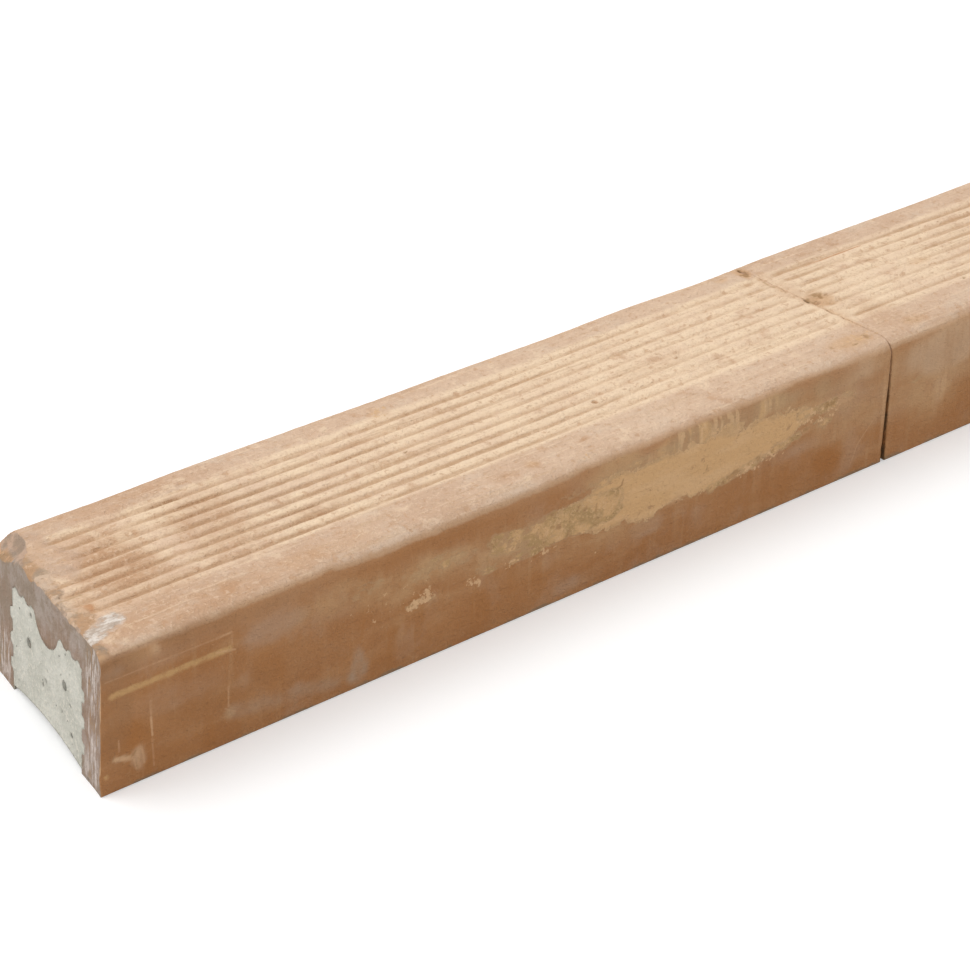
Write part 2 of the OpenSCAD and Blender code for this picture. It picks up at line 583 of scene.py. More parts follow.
@dataclass
class Piece:
    """A piece of the lintel that runs from one end face to another.

    Attributes:
        node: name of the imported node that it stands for.
        near: its end face on the near side.
        far: its other end face.
    """

    WORD: ClassVar[str]
    SLOT: ClassVar[Slot]
    CLIPPED: ClassVar[bool] = False

    node: str
    near: EndFace
    far: EndFace

    def draft(self) -> MeshDraft:
        """Works out the piece's points and faces."""
        raise NotImplementedError

    def along(self, outline: np.ndarray, share: np.ndarray) -> np.ndarray:
        """Points of an outline carried along the piece.

        Args:
            outline: points (y, z), (..., 2).
            share: share of the way from the near face to the far one, broadcast against the outline.

        Returns:
            Points, (..., 3), with x = near + share * (far - near) at their own y and z.
        """
        y, z = outline[..., 0], outline[..., 1]
        near, far = self.near.at(y, z), self.far.at(y, z)
        return np.stack(np.broadcast_arrays(near + share * (far - near), y, z), axis=-1)

    def build(self) -> bpy.types.Object:
        """Makes the piece as a smooth-shaded mesh at the origin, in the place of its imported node.

        Returns:
            The new object, linked to the scene, with a mesh attribute for each layer.
        """
        points, layers, faces = self.draft().welded()
        if self.CLIPPED:
            points = np.clip(points, LINTEL_LOW, LINTEL_HIGH)
        mesh = bpy.data.meshes.new(f"{self.node}_{self.WORD}")
        mesh.from_pydata(points.tolist(), [], faces)
        for layer, values in layers.items():
            attribute = mesh.attributes.new(layer, "FLOAT", "POINT")
            attribute.data.foreach_set("value", np.ascontiguousarray(values, dtype=np.float32))
        mesh.validate()
        mesh.polygons.foreach_set("use_smooth", np.ones(len(mesh.polygons), dtype=bool))
        mesh.update()
        made = bpy.data.objects.new(mesh.name, mesh)
        bpy.context.scene.collection.objects.link(made)
        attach(made, "root")
        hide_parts(self.node)
        LOG.info("%s: %d points, %d faces", made.name, len(points), len(faces))
        return made


# ---------------------------------------------------------------- wear and what sticks to the surface


@dataclass(frozen=True)
class Chip:
    """A shallow hollow where a bit has broken off, placed from the lintel's near lower front corner.

    Attributes:
        x: place along the lintel of the point that was there before, in millimetres.
        y: place across it.
        z: height.
        out: direction out of the body.
        depth: depth of the hollow under that point, in millimetres.
        radius: radius at which the hollow has come back to that point's level.
        longer: how many times longer it is along the lintel.
    """

    # Radii out to which a hollow may reach
    REACH: ClassVar[float] = 1.4

    x: float
    y: float
    z: float
    out: Triple
    depth: float
    radius: float
    longer: float = 1.0

    def cut(self, points: np.ndarray, rough: np.ndarray) -> np.ndarray:
        """Moves points down to the hollow's floor.

        With h the height of a point above the lost point along the direction out, and d its distance from
        that direction, the floor lies at depth * (d^2 / radius^2 - 1), plus the roughness, which also makes
        the outline uneven. Points above the floor come down onto it.

        Args:
            points: array of points, (..., 3).
            rough: roughness of the floor at each point, in metres.

        Returns:
            How far each point moved, (...). The points are changed in place.
        """
        out = np.array(self.out) / np.linalg.norm(self.out)
        apart = points - on_lintel((self.x, self.y, self.z))
        height = apart @ out
        across = apart - height[..., None] * out
        across[..., 0] /= self.longer
        uneven = 1.0 + 0.8 * rough / MM
        sideways = np.linalg.norm(across, axis=-1) / (MM * self.radius) * uneven
        reached = sideways < self.REACH
        floor = MM * self.depth * (sideways**2 - 1.0) + rough * reached
        moved = np.where(reached, np.maximum(height - floor, 0.0), 0.0)
        points -= moved[..., None] * out
        return moved


@dataclass(frozen=True)
class Marks:
    """Mortar, films, stains, painted shade and worn grooves on the clay: patches and lines for each layer.

    Attributes:
        layers: the marks of each layer.
        steady: layers whose places are hardly shifted, because they are thin lines.
        wander: how far noise shifts the other places along X, Y and Z, in millimetres.
        tremble: how far it shifts the steady ones.
        seed: number that the shifts are drawn from.
    """

    layers: dict[str, tuple[Mark, ...]]
    steady: tuple[str, ...] = (
        "yellow", "soot", "dirt", "orange", "stained", "scraped", "skim", "crumbled", "smear",
    )
    wander: Triple = (7.0, 3.0, 3.0)
    tremble: Triple = (2.0, 0.3, 0.3)
    seed: int = 5

    def at(self, points: np.ndarray) -> dict[str, np.ndarray]:
        """Strength of each layer at each point.

        The places are shifted by noise first, so that no patch keeps an even outline.

        Args:
            points: array of points, (..., 3).

        Returns:
            Arrays of values from 0 to 1, by layer name.
        """
        noise = LatticeNoise(self.seed)
        shift = np.stack([noise.fractal(points + 0.1 * n, 14 * MM, 3) for n in range(3)], axis=-1)
        wide = points + shift * np.array(self.wander) * MM
        thin = points + shift * np.array(self.tremble) * MM
        return {
            name: strongest(marks, thin if name in self.steady else wide)
            for name, marks in self.layers.items()
        }


# Distances of the closely set rows of points from a channel's worn end
EDGE_STEPS = MM * np.array([0.12, 0.3, 0.55, 0.9, 1.4, 2.1, 3.0])


@dataclass
class ClayChannel(Piece):
    """A channel of fired clay, laid open side down, with plaster grooves in its upper face.

    Attributes:
        marks: what sticks to it.
        chips: bits broken off it.
        seed: number that its noise is drawn from.
        pitch: distance between two rows of points along it.
        cap_rows: points across the wall on an end face.
        coarse_steps: steps along its inside.
        section: its outline.
    """

    WORD = "clay"
    SLOT = Slot.CLAY
    CLIPPED = True

    marks: Marks
    chips: tuple[Chip, ...]
    seed: int
    pitch: float = 1.2 * MM
    cap_rows: int = 12
    coarse_steps: int = 12
    section: Section = field(default_factory=Section)

    def shares(self) -> np.ndarray:
        """Shares along the channel of its rows: even in the middle and close together at the worn ends.

        Returns:
            The shares, from 0 to 1.
        """
        length = self.far.x - self.near.x
        middle = length - 2 * EDGE_STEPS[-1]
        even = self.coarse_steps * math.ceil(middle / self.pitch / self.coarse_steps)
        spare = (even + 2 * len(EDGE_STEPS)) % self.coarse_steps
        steps = even + (self.coarse_steps - spare) % self.coarse_steps
        rows = np.linspace(EDGE_STEPS[-1], length - EDGE_STEPS[-1], steps + 1)
        return np.concatenate([[0.0], EDGE_STEPS[:-1], rows, length - EDGE_STEPS[-2::-1], [length]]) / length

    def relief(self, points: np.ndarray, layers: dict[str, np.ndarray]) -> np.ndarray:
        """How far the skin stands out of its outline: slow waves, drag lines, grit, mortar, less the grooves.

        Sizes of noise and heights are in metres, and each part's strength is in millimetres.

        Args:
            points: points of the plain skin.
            layers: strengths of what sticks to it.

        Returns:
            Distances along the outward normal, in metres.
        """
        noise = LatticeNoise(self.seed)
        other = LatticeNoise(self.seed + 1)
        wave = 0.22 * noise.at(points, (0.16, 0.04, 0.04)) - 0.05
        drag = 0.07 * other.fractal(points, (0.06, 0.0022, 0.0022), 2)
        grit = 0.10 * noise.fractal(points, 0.0035, 2)
        back_edge = smooth_step(0.036, 0.044, points[..., 1]) * smooth_step(0.045, 0.058, points[..., 2])
        sag = -0.55 * back_edge * (1.0 + other.at(points, (0.045, 1.0, 1.0)))
        top = smooth_step(0.0585, 0.0595, points[..., 2])
        crust = 0.18 * top * smooth_step(0.25, 0.75, other.fractal(points, (0.012, 0.006, 0.006), 3))
        lumpy = 0.30 * top * layers["chalk"] * smooth_step(-0.1, 0.6, noise.fractal(points, 0.0045, 3))
        stuck = 0.24 * smooth_step(0.2, 0.9, layers["mortar"] + 0.3 * noise.fractal(points, 0.006, 3))
        uneven = 0.75 + 0.5 * other.fractal(points, (0.009, 0.004, 0.004), 2)
        stuck = stuck * uneven + lumpy - 0.5 * layers["pit"]
        depth = self.section.groove_depth / MM
        keep = (1.0 - layers["filled"]) * (0.88 + 0.2 * other.fractal(points, (0.035, 0.006, 1.0), 2))
        torn = 0.22 * top * layers["groove_raw"] * noise.fractal(points, (0.005, 0.0016, 1.0), 2)
        return MM * (wave + drag + grit + sag + crust + stuck + torn - depth * keep * layers["groove_raw"])

    def draft(self) -> MeshDraft:
        """Works out the channel as four sheets: skin, two end faces and the inside, joined under the legs.

        Returns:
            The draft, with a layer for each thing that its material reads.
        """
        section = self.section
        half = section.half_outer()
        outline = both_halves(half)
        inner = section.whole_inner()
        normal = outline_normals(outline)
        share = self.shares()
        skin = self.along(outline[:, None, :], share[None, :])
        layers = self.marks.at(skin)
        layers["groove_raw"] = section.groove(skin)
        layers["groove_raw"] *= (outline[:, 1] > 0.9 * section.height)[:, None]
        crumbled = LatticeNoise(self.seed + 4).fractal(skin, 0.0042, 3)
        layers["pit"] = layers["crumbled"] * smooth_step(0.0, 0.5, crumbled)
        foot = smooth_step(0.0, 3 * MM, outline[:, 1])[:, None]
        out = self.relief(skin, layers) * foot
        worn = LatticeNoise(self.seed + 2)
        upper = smooth_step(0.056, 0.059, skin[..., 2])
        for face in (self.near, self.far):
            crumbled = 0.9 * face.worn * smooth_step(-0.1, 0.9, worn.fractal(skin[:, :1], 0.007, 3))
            crumbled = crumbled * (1.0 + face.worn * (face.worn > 1.0) * upper)
            edge = MM * (0.55 + crumbled) * (1.0 - 0.55 * face.closed * upper)
            apart = np.abs(skin[..., 0] - face.at(skin[..., 1], skin[..., 2]))
            inside = np.clip(1.0 - apart / edge, 0.0, 1.0)
            out -= edge * (1.0 - np.sqrt(1.0 - inside**2)) * foot
        skin[..., 1:] += out[..., None] * normal[:, None, :]
        layers["groove"] = np.clip(layers.pop("groove_raw") * (1.0 - layers["filled"]), 0.0, 1.0)
        layers["cut"] = np.zeros(skin.shape[:2])
        for column, face, sign in ((0, self.near, -1.0), (-1, self.far, 1.0)):
            layers["cut"][:, column] = 0.5 * (1.0 - face.closed * upper[:, column])
            skin[:, column, 0] += sign * 0.15 * MM * face.closed * upper[:, column]
        layers["slurry"] = np.zeros(skin.shape[:2])
        hurt = worn.fractal(skin, 0.006, 3) * 0.5 * MM
        layers["broken"] = self.broken(skin, hurt)
        draft = MeshDraft()
        outer = draft.add_grid(skin, **layers)
        coarse = share[:: (len(share) - 1) // self.coarse_steps]
        plain = {name: 0.0 for name in layers}
        inside = self.along(inner[:, None, :], coarse[None, :])
        inner_numbers = draft.add_grid(inside, turned=True, **(plain | {"slurry": 1.0, "cut": 1.0}))
        near, far = (
            self.add_cap(draft, skin[:, column], inside[:, column], face, turned, layers, column)
            for column, face, turned in ((0, self.near, True), (-1, self.far, False))
        )
        for row, turned in ((0, True), (-1, False)):
            draft.add_comb(outer[row], inner_numbers[row], turned, near[row, 1:-1], far[row, 1:-1])
        return draft

    def broken(self, points: np.ndarray, rough: np.ndarray) -> np.ndarray:
        """Cuts the chips into points and gives how freshly broken each point is, from 0 to 1."""
        moved = sum((chip.cut(points, rough) for chip in self.chips), np.zeros(points.shape[:-1]))
        return smooth_step(0.15 * MM, 0.6 * MM, moved)

    def add_cap(
        self, draft: MeshDraft, rim: np.ndarray, lip: np.ndarray, face: EndFace, turned: bool,
        layers: dict[str, np.ndarray], column: int,
    ) -> np.ndarray:
        """Adds an end face between the skin's rim and the inside's lip.

        A point at share r across the wall is rim + r * (lip - rim), moved onto the end face and a little
        into the clay by noise.

        Args:
            draft: the channel's draft.
            rim: the skin's points on this face.
            lip: the inside's points on this face.
            face: the end face.
            turned: whether it faces the near end.
            layers: the skin's layers.
            column: the skin's column on this face.

        Returns:
            The end face's point numbers, from the rim to the lip in each row.
        """
        noise = LatticeNoise(self.seed + 3)
        across = np.linspace(0.0, 1.0, self.cap_rows)[None, :, None]
        flat = rim[:, None] + across * (lip - rim)[:, None]
        inward = 1.0 if turned else -1.0
        rough = 0.12 * (1.0 + noise.fractal(flat, 0.004, 3)) + 0.1 * (1.0 + noise.at(flat, 0.02))
        middle = np.sin(math.pi * across[..., 0]) ** 0.5
        flat[..., 0] = face.at(flat[..., 1], flat[..., 2]) + inward * MM * rough * middle
        hurt = LatticeNoise(self.seed + 2).fractal(flat, 0.006, 3) * 0.5 * MM
        broken = self.broken(flat, hurt)
        flat[:, 0], flat[:, -1] = rim, lip
        broken[:, 0] = layers["broken"][:, column]
        gap = np.linalg.norm((lip[:, None] - flat)[..., 1:], axis=-1)
        values = self.marks.at(flat) | {"groove": np.zeros(flat.shape[:2])}
        for name in values:
            values[name][:, 0] = layers[name][:, column]
        values["cut"] = np.ones(flat.shape[:2])
        values["cut"][:, 0] = layers["cut"][:, column]
        values["slurry"] = 1.0 - np.clip(gap / (6 * MM), 0.0, 1.0)
        values["broken"] = broken
        return draft.add_grid(flat, turned=turned, **values)


@dataclass
class ConcreteCore(Piece):
    """The concrete that fills the cavity, with a dished underside and a hole for each wire.

    Attributes:
        holes: places (y, z) of the wires.
        hole_radius: radius of their holes.
        pores: bigger pores of the near face, as (y, z, radius, depth).
        section: outline of the channels around it.
        spread: distance between two points of an end face.
        seed: number that its noise and the end faces' points are drawn from.
        around: points round a hole.
        across: points across the underside.
        coarse_steps: steps along it under the channels.
        fine_steps: steps along it on the underside, a whole number for each coarse one.
    """

    WORD = "cast"
    SLOT = Slot.CONCRETE

    # A triangle whose middle lies nearer to a hole's middle than this share of its radius is in the hole
    HOLE_SHARE: ClassVar[float] = 0.985

    holes: tuple[tuple[float, float], ...]
    hole_radius: float
    pores: tuple[tuple[float, float, float, float], ...]
    section: Section = field(default_factory=Section)
    spread: float = 0.9 * MM
    seed: int = 41
    around: int = 24
    across: int = 64
    coarse_steps: int = 12
    fine_steps: int = 12 * 24

    def underside(self, y: np.ndarray) -> np.ndarray:
        """Height of the underside at y: a parabola from its edges by the legs up to its middle.

        Args:
            y: places across the lintel.

        Returns:
            Heights, one for each place.
        """
        section = self.section
        share = (y - section.cavity_middle) / section.cavity_half
        return section.core_middle - (section.core_middle - section.core_edge) * share**2

    def arch(self) -> np.ndarray:
        """The inner outline of the channels, ended just above the underside's edges.

        Returns:
            Its points, (count, 2), from front to back.
        """
        inner = self.section.whole_inner()
        lowest = self.section.core_edge + 2 * MM
        inner[[0, -1], 1] = lowest
        inner[:, 1] = np.maximum(inner[:, 1], lowest)
        keep = np.concatenate([[True], np.linalg.norm(np.diff(inner, axis=0), axis=1) > 1e-5])
        return inner[keep]

    def circle(self) -> np.ndarray:
        """Points round a hole, about its middle."""
        turn = np.linspace(0.0, 2 * math.pi, self.around, endpoint=False)
        return self.hole_radius * np.column_stack([np.cos(turn), np.sin(turn)])

    def end_points(self, ring: np.ndarray) -> tuple[np.ndarray, np.ndarray]:
        """Fills an end face with triangles around the wires' holes.

        A square lattice of points, each shifted by up to a third of a step, is kept where it is clear of
        the outline and the holes, and the whole is joined up by a Delaunay triangulation.

        Args:
            ring: outline of the face, (count, 2), in order.

        Returns:
            The points (y, z), the outline's first, and the triangles as point numbers.
        """
        draw = np.random.default_rng(self.seed)
        low, high = ring.min(axis=0), ring.max(axis=0)
        lattice = np.stack(np.meshgrid(*(np.arange(a, b, self.spread) for a, b in zip(low, high))), axis=-1)
        lattice = lattice.reshape(-1, 2) + draw.uniform(-0.3, 0.3, (lattice.size // 2, 2)) * self.spread
        away = np.linalg.norm(lattice[:, None] - ring[None], axis=-1).min(axis=1) > 0.6 * self.spread
        for hole in self.holes:
            away &= np.linalg.norm(lattice - np.array(hole), axis=1) > self.hole_radius + 0.4 * self.spread
        circles = [self.circle() + np.array(hole) for hole in self.holes]
        points = np.concatenate([ring, *circles, lattice[away]])
        starts = np.cumsum([0, len(ring)] + [len(c) for c in circles])
        loops = [list(range(a, b)) for a, b in zip(starts[:-1], starts[1:])]
        edges = [(loop[n - 1], loop[n]) for loop in loops for n in range(len(loop))]
        flat = [Vector(point) for point in points.tolist()]
        filled = geometry.delaunay_2d_cdt(flat, edges, [], 0, 1e-7)
        triangles = np.array(filled[2])
        middles = points[triangles].mean(axis=1)
        inside = inside_ring(middles, ring)
        for hole in self.holes:
            inside &= np.linalg.norm(middles - np.array(hole), axis=1) > self.HOLE_SHARE * self.hole_radius
        return points, triangles[inside]

    def draft(self) -> MeshDraft:
        """Works out the concrete: the arch under the channels, the underside, the ends and the holes.

        Returns:
            The draft.
        """
        draft = MeshDraft()
        arch = self.arch()
        reach = self.section.cavity_half
        low_y = self.section.cavity_middle + np.linspace(-reach, reach, self.across)
        under = np.column_stack([low_y, self.underside(low_y)])
        coarse = np.linspace(0.0, 1.0, self.coarse_steps + 1)
        fine = np.linspace(0.0, 1.0, self.fine_steps + 1)
        arch_points = self.along(arch[:, None, :], coarse[None, :])
        under_points = self.along(under[:, None, :], fine[None, :])
        noise = LatticeNoise(self.seed)
        swell = 0.5 * noise.fractal(under_points, 0.03, 3) + 0.25 * noise.fractal(under_points, 0.006, 2)
        swell[[0, -1]] = 0.0
        swell[:, [0, -1]] = 0.0
        under_points[..., 2] += MM * swell
        sheet = draft.add_grid(arch_points, cut=0.0)
        bottom = draft.add_grid(under_points, turned=True, cut=0.0)
        draft.add_comb(bottom[0], sheet[0])
        draft.add_comb(bottom[-1], sheet[-1], turned=True)
        ring = np.concatenate([arch, under[::-1]])
        flat, triangles = self.end_points(ring)
        for face, turned, pores in ((self.near, True, self.pores), (self.far, False, self.pores[::-1])):
            points = np.column_stack([face.at(flat[:, 0], flat[:, 1]), flat])
            inward = 1.0 if turned else -1.0
            edge = np.linalg.norm(flat[:, None] - ring[None], axis=-1).min(axis=1)
            free = smooth_step(0.0, 1.2 * MM, edge)
            free[: len(ring) + self.around * len(self.holes)] = 0.0
            depth = 0.25 + 0.2 * noise.fractal(points, 0.007, 3) + 0.1 * noise.fractal(points, 0.0022, 2)
            # Where the pores are, which the concrete's material paints dark with shade
            pitted = np.zeros(len(flat))
            for y, z, radius, deep in pores:
                away = np.linalg.norm(flat - MM * np.array([inward * y, z]), axis=1) / (MM * radius)
                depth = depth + deep * (1.0 - smooth_step(0.5, 1.0, away))
                pitted = np.maximum(pitted, 1.0 - smooth_step(0.4, 1.0, away))
            points[:, 0] += inward * MM * depth * free
            draft.add_faces(points, triangles[:, ::-1] if turned else triangles, cut=1.0, pore=pitted)
        circle = self.circle()
        circle = np.concatenate([circle, circle[:1]])
        for hole in self.holes:
            tube = self.along((circle + np.array(hole))[:, None, :], coarse[None, :])
            draft.add_grid(tube, cut=0.0)
        return draft


def inside_ring(points: np.ndarray, ring: np.ndarray) -> np.ndarray:
    """Whether each point lies inside a closed outline, by how many of its edges a ray to the side crosses.

    Args:
        points: array of points, (count, 2).
        ring: the outline's points, in order.

    Returns:
        Whether it does, (count,).
    """
    start, end = ring, np.roll(ring, -1, axis=0)
    y, z = points[:, [0]], points[:, [1]]
    spans = (start[:, 1] > z) != (end[:, 1] > z)
    rise = np.where(end[:, 1] == start[:, 1], 1.0, end[:, 1] - start[:, 1])
    crossing = start[:, 0] + (z - start[:, 1]) * (end[:, 0] - start[:, 0]) / rise
    return (np.sum(spans & (y < crossing), axis=1) % 2).astype(bool)


@dataclass
class PrestressingWire(Piece):
    """A drawn steel wire through the concrete, cut flush with its ends.

    Attributes:
        y: place across the lintel.
        z: height.
        radius: its radius.
        lay: length in which its drawn marks wind round once.
        around: points round it.
        rows: rings of points between its ends.
        rounding: radius of its rounded ends.
    """

    WORD = "drawn"
    SLOT = Slot.STEEL

    y: float
    z: float
    radius: float = 2.0 * MM
    lay: float = 60 * MM
    around: int = 24
    rows: int = 120
    rounding: float = 0.35 * MM

    def draft(self) -> MeshDraft:
        """Works out the wire: rings carried from end to end, and two sawn end faces of shrinking rings.

        The radius shrinks by up to 2 percent in a spiral, and the ends are rounded off.

        Returns:
            The draft.
        """
        turn = np.append(np.linspace(0.0, 2 * math.pi, self.around, endpoint=False), 0.0)[:, None]
        length = self.far.x - self.near.x
        step = MM * np.array([0.0, 0.1, 0.2, 0.35, 0.5])
        middle = np.linspace(2 * MM, length - 2 * MM, self.rows)
        run = np.concatenate([step, middle, length - step[::-1]])[None, :]
        spiral = 1.0 - 0.01 * (1.0 + np.sin(3 * turn + 2 * math.pi * run / self.lay))
        close = np.clip(1.0 - np.minimum(run, length - run) / self.rounding, 0.0, 1.0)
        radius = self.radius * spiral - self.rounding * (1.0 - np.sqrt(1.0 - close**2))
        y, z = self.y + radius * np.cos(turn), self.z + radius * np.sin(turn)
        near, far = self.near.at(y, z), self.far.at(y, z)
        skin = np.stack([near + (far - near) * run / length, y, z], axis=-1)
        draft = MeshDraft()
        draft.add_grid(skin, turned=True, cut=0.0)
        shrink = np.linspace(1.0, 0.0, 5)[None, :, None]
        for column, turned in ((0, False), (-1, True)):
            rim = skin[:, [column]]
            middle = rim[:-1].mean(axis=0, keepdims=True)
            disc = middle + shrink * (rim - middle)
            disc[:, 0], disc[:, -1] = rim[:, 0], middle[0]
            draft.add_grid(disc, turned=turned, cut=1.0)
        return draft


# ---------------------------------------------------------------- finishes


class NodeSheet:
    """Writes a material's nodes in short steps; every value is a socket or a plain number or colour."""

    def __init__(self, name: str) -> None:
        """Makes an empty material with a Principled shader.

        Args:
            name: the material's name.
        """
        self.material = bpy.data.materials.new(name)
        self.material.use_nodes = True
        self.tree = self.material.node_tree
        self.shader = self.tree.nodes["Principled BSDF"]
        self.place = self.tree.nodes.new("ShaderNodeTexCoord").outputs["Object"]
        self.axes = self.new("SeparateXYZ", {0: self.place}).outputs
        self.layers: dict[str, Socket] = {}

    def feed(self, socket: Socket, value: object) -> None:
        """Links a socket to another, or sets its value.

        Args:
            socket: the input.
            value: an output, a number, a vector or a colour.
        """
        if isinstance(value, Socket):
            self.tree.links.new(value, socket)
        else:
            socket.default_value = (*value, 1.0) if socket.type == "RGBA" and len(value) == 3 else value

    def new(self, kind: str, inputs: dict[int | str, object], **settings: object) -> bpy.types.ShaderNode:
        """Adds a node.

        Args:
            kind: its type, without the word that every type starts with.
            inputs: sockets or plain values for its inputs, by number or name.
            settings: its settings, by name.

        Returns:
            The node.
        """
        node = self.tree.nodes.new(f"ShaderNode{kind}")
        for name, value in settings.items():
            setattr(node, name, value)
        for name, value in inputs.items():
            self.feed(node.inputs[name], value)
        return node

    def calc(self, kind: str, a: object, b: object = 0.0) -> Socket:
        """The result of a Math node of that kind on a and b."""
        return self.new("Math", {0: a, 1: b}, operation=kind).outputs[0]

    def plus(self, a: object, b: object) -> Socket:
        """The sum of a and b."""
        return self.calc("ADD", a, b)

    def times(self, a: object, b: object) -> Socket:
        """The product of a and b."""
        return self.calc("MULTIPLY", a, b)

    def blend(self, share: object, a: object, b: object) -> Socket:
        """The colour a where share is 0 and b where it is 1."""
        return self.new("Mix", {"Factor": share, 6: a, 7: b}, data_type="RGBA").outputs[2]

    def between(
        self, value: object, low: float, high: float, to: tuple[float, float] = (0.0, 1.0)
    ) -> Socket:
        """A smooth step of value from low to high, onto the range to; high may be the lower of the two."""
        inputs = dict(enumerate((value, low, high, *to)))
        return self.new("MapRange", inputs, interpolation_type="SMOOTHSTEP", clamp=False).outputs[0]

    def tint(
        self, under: object, colour: object, value: Socket, low: float, high: float, most: float = 1.0
    ) -> Socket:
        """The colour under with another over it, whose strength steps from 0 at low to most at high."""
        return self.blend(self.between(value, low, high, (0.0, most)), under, colour)

    def tints(self, under: object, *rows: tuple[Colour, Socket, float, float, float]) -> Socket:
        """The colour under with one tint after another over it: colour, value, low, high and most.

        Args:
            under: the colour below.
            rows: the tints, from the lowest up.

        Returns:
            The colour's socket.
        """
        for row in rows:
            under = self.tint(under, *row)
        return under

    def layer(self, name: str) -> Socket:
        """The value of a mesh layer.

        Args:
            name: the layer's name.

        Returns:
            The value's socket, the same each time.
        """
        if name not in self.layers:
            self.layers[name] = self.new("Attribute", {}, attribute_name=name).outputs["Fac"]
        return self.layers[name]

    def axis(self, letter: str) -> Socket:
        """The place along X, Y or Z."""
        return self.axes[letter]

    def stretched(self, scale: Triple, shift: float = 0.0) -> Socket:
        """The place, scaled along each axis and shifted."""
        moved = (shift, 0.7 * shift, 1.3 * shift)
        return self.new("Mapping", {"Vector": self.place, "Scale": scale, "Location": moved}).outputs[0]

    def noise(
        self, size: float | Triple, detail: float = 3.0, rough: float = 0.5, shift: float = 0.0
    ) -> Socket:
        """Noise around 0.5 with bumps of that size in metres.

        Args:
            size: size of the largest bumps, one or along each axis.
            detail: how many finer sizes are added.
            rough: how strong each finer size is.
            shift: shift of the place, so that two noises differ.

        Returns:
            The noise's socket.
        """
        sizes = size if isinstance(size, tuple) else (size, size, size)
        place = self.stretched(tuple(1.0 / part for part in sizes), shift)
        inputs = {"Vector": place, "Scale": 1.0, "Detail": detail, "Roughness": rough}
        return self.new("TexNoise", inputs).outputs["Fac"]

    def spread(self, noise: Socket, width: float) -> Socket:
        """Noise around 0.5 turned into a value around 0, that many units wide."""
        return self.times(self.calc("SUBTRACT", noise, 0.5), width)

    def cells(self, size: float, shift: float = 0.0) -> Socket:
        """Distance to the nearest of points spread at random, about that size apart."""
        place = self.stretched((1.0 / size,) * 3, shift)
        return self.new("TexVoronoi", {"Vector": place, "Scale": 1.0}).outputs["Distance"]

    def line(self, hair: "Hairline", noise: Socket) -> Socket:
        """Strength of a thin straight line: 1 along it and 0 from half its width on, with noise in its width.

        The share of the way from start to end is clamped to 0 to 1, and the point of the line at that share
        is the nearest one.

        Args:
            hair: the line.
            noise: noise around 0.5.

        Returns:
            The strength's socket.
        """
        first, last = Vector(on_lintel(hair.start)), Vector(on_lintel(hair.end))
        along = last - first
        apart = self.vector("SUBTRACT", self.place, first).outputs["Vector"]
        share = self.vector("DOT_PRODUCT", apart, along / along.length_squared).outputs["Value"]
        share = self.calc("MINIMUM", self.calc("MAXIMUM", share, 0.0), 1.0)
        nearest = self.vector("SCALE", along)
        self.feed(nearest.inputs["Scale"], share)
        reach = self.vector("DISTANCE", apart, nearest.outputs["Vector"]).outputs["Value"]
        reach = self.plus(reach, self.spread(noise, 2.5 * hair.half * MM))
        uneven = self.between(noise, 0.36, 0.58, (0.35, 1.0))
        return self.times(self.between(reach, 1.2 * hair.half * MM, 0.1 * hair.half * MM), uneven)

    def vector(self, kind: str, a: object, b: object = (0.0, 0.0, 0.0)) -> bpy.types.ShaderNode:
        """A Vector Math node of that kind on a and b."""
        return self.new("VectorMath", {0: a, 1: b}, operation=kind)

    def bump(self, height: Socket, depth: float, below: Socket | None = None) -> Socket:
        """A bumped normal: a height of 0 to 1 is depth metres, over the normal below."""
        inputs = {"Distance": depth, "Height": height} | ({} if below is None else {"Normal": below})
        return self.new("Bump", inputs).outputs[0]

    def film(self, layer: str, noise: Socket, most: float) -> Socket:
        """Strength of a mesh layer as a film of strength most, which noise thins out without a clear edge."""
        thinned = self.times(self.layer(layer), self.between(noise, 0.34, 0.60, (0.40, 1.0)))
        return self.calc("MINIMUM", self.times(thinned, most), 1.0)

    def ragged(self, layer: str, noise: Socket, low: float, high: float, most: float) -> Socket:
        """Strength of a mesh layer, whose edge between low and high is broken up by noise, up to most."""
        value = self.times(self.layer(layer), self.plus(1.0, self.spread(noise, 2.6)))
        return self.between(value, low, high, (0.0, most))


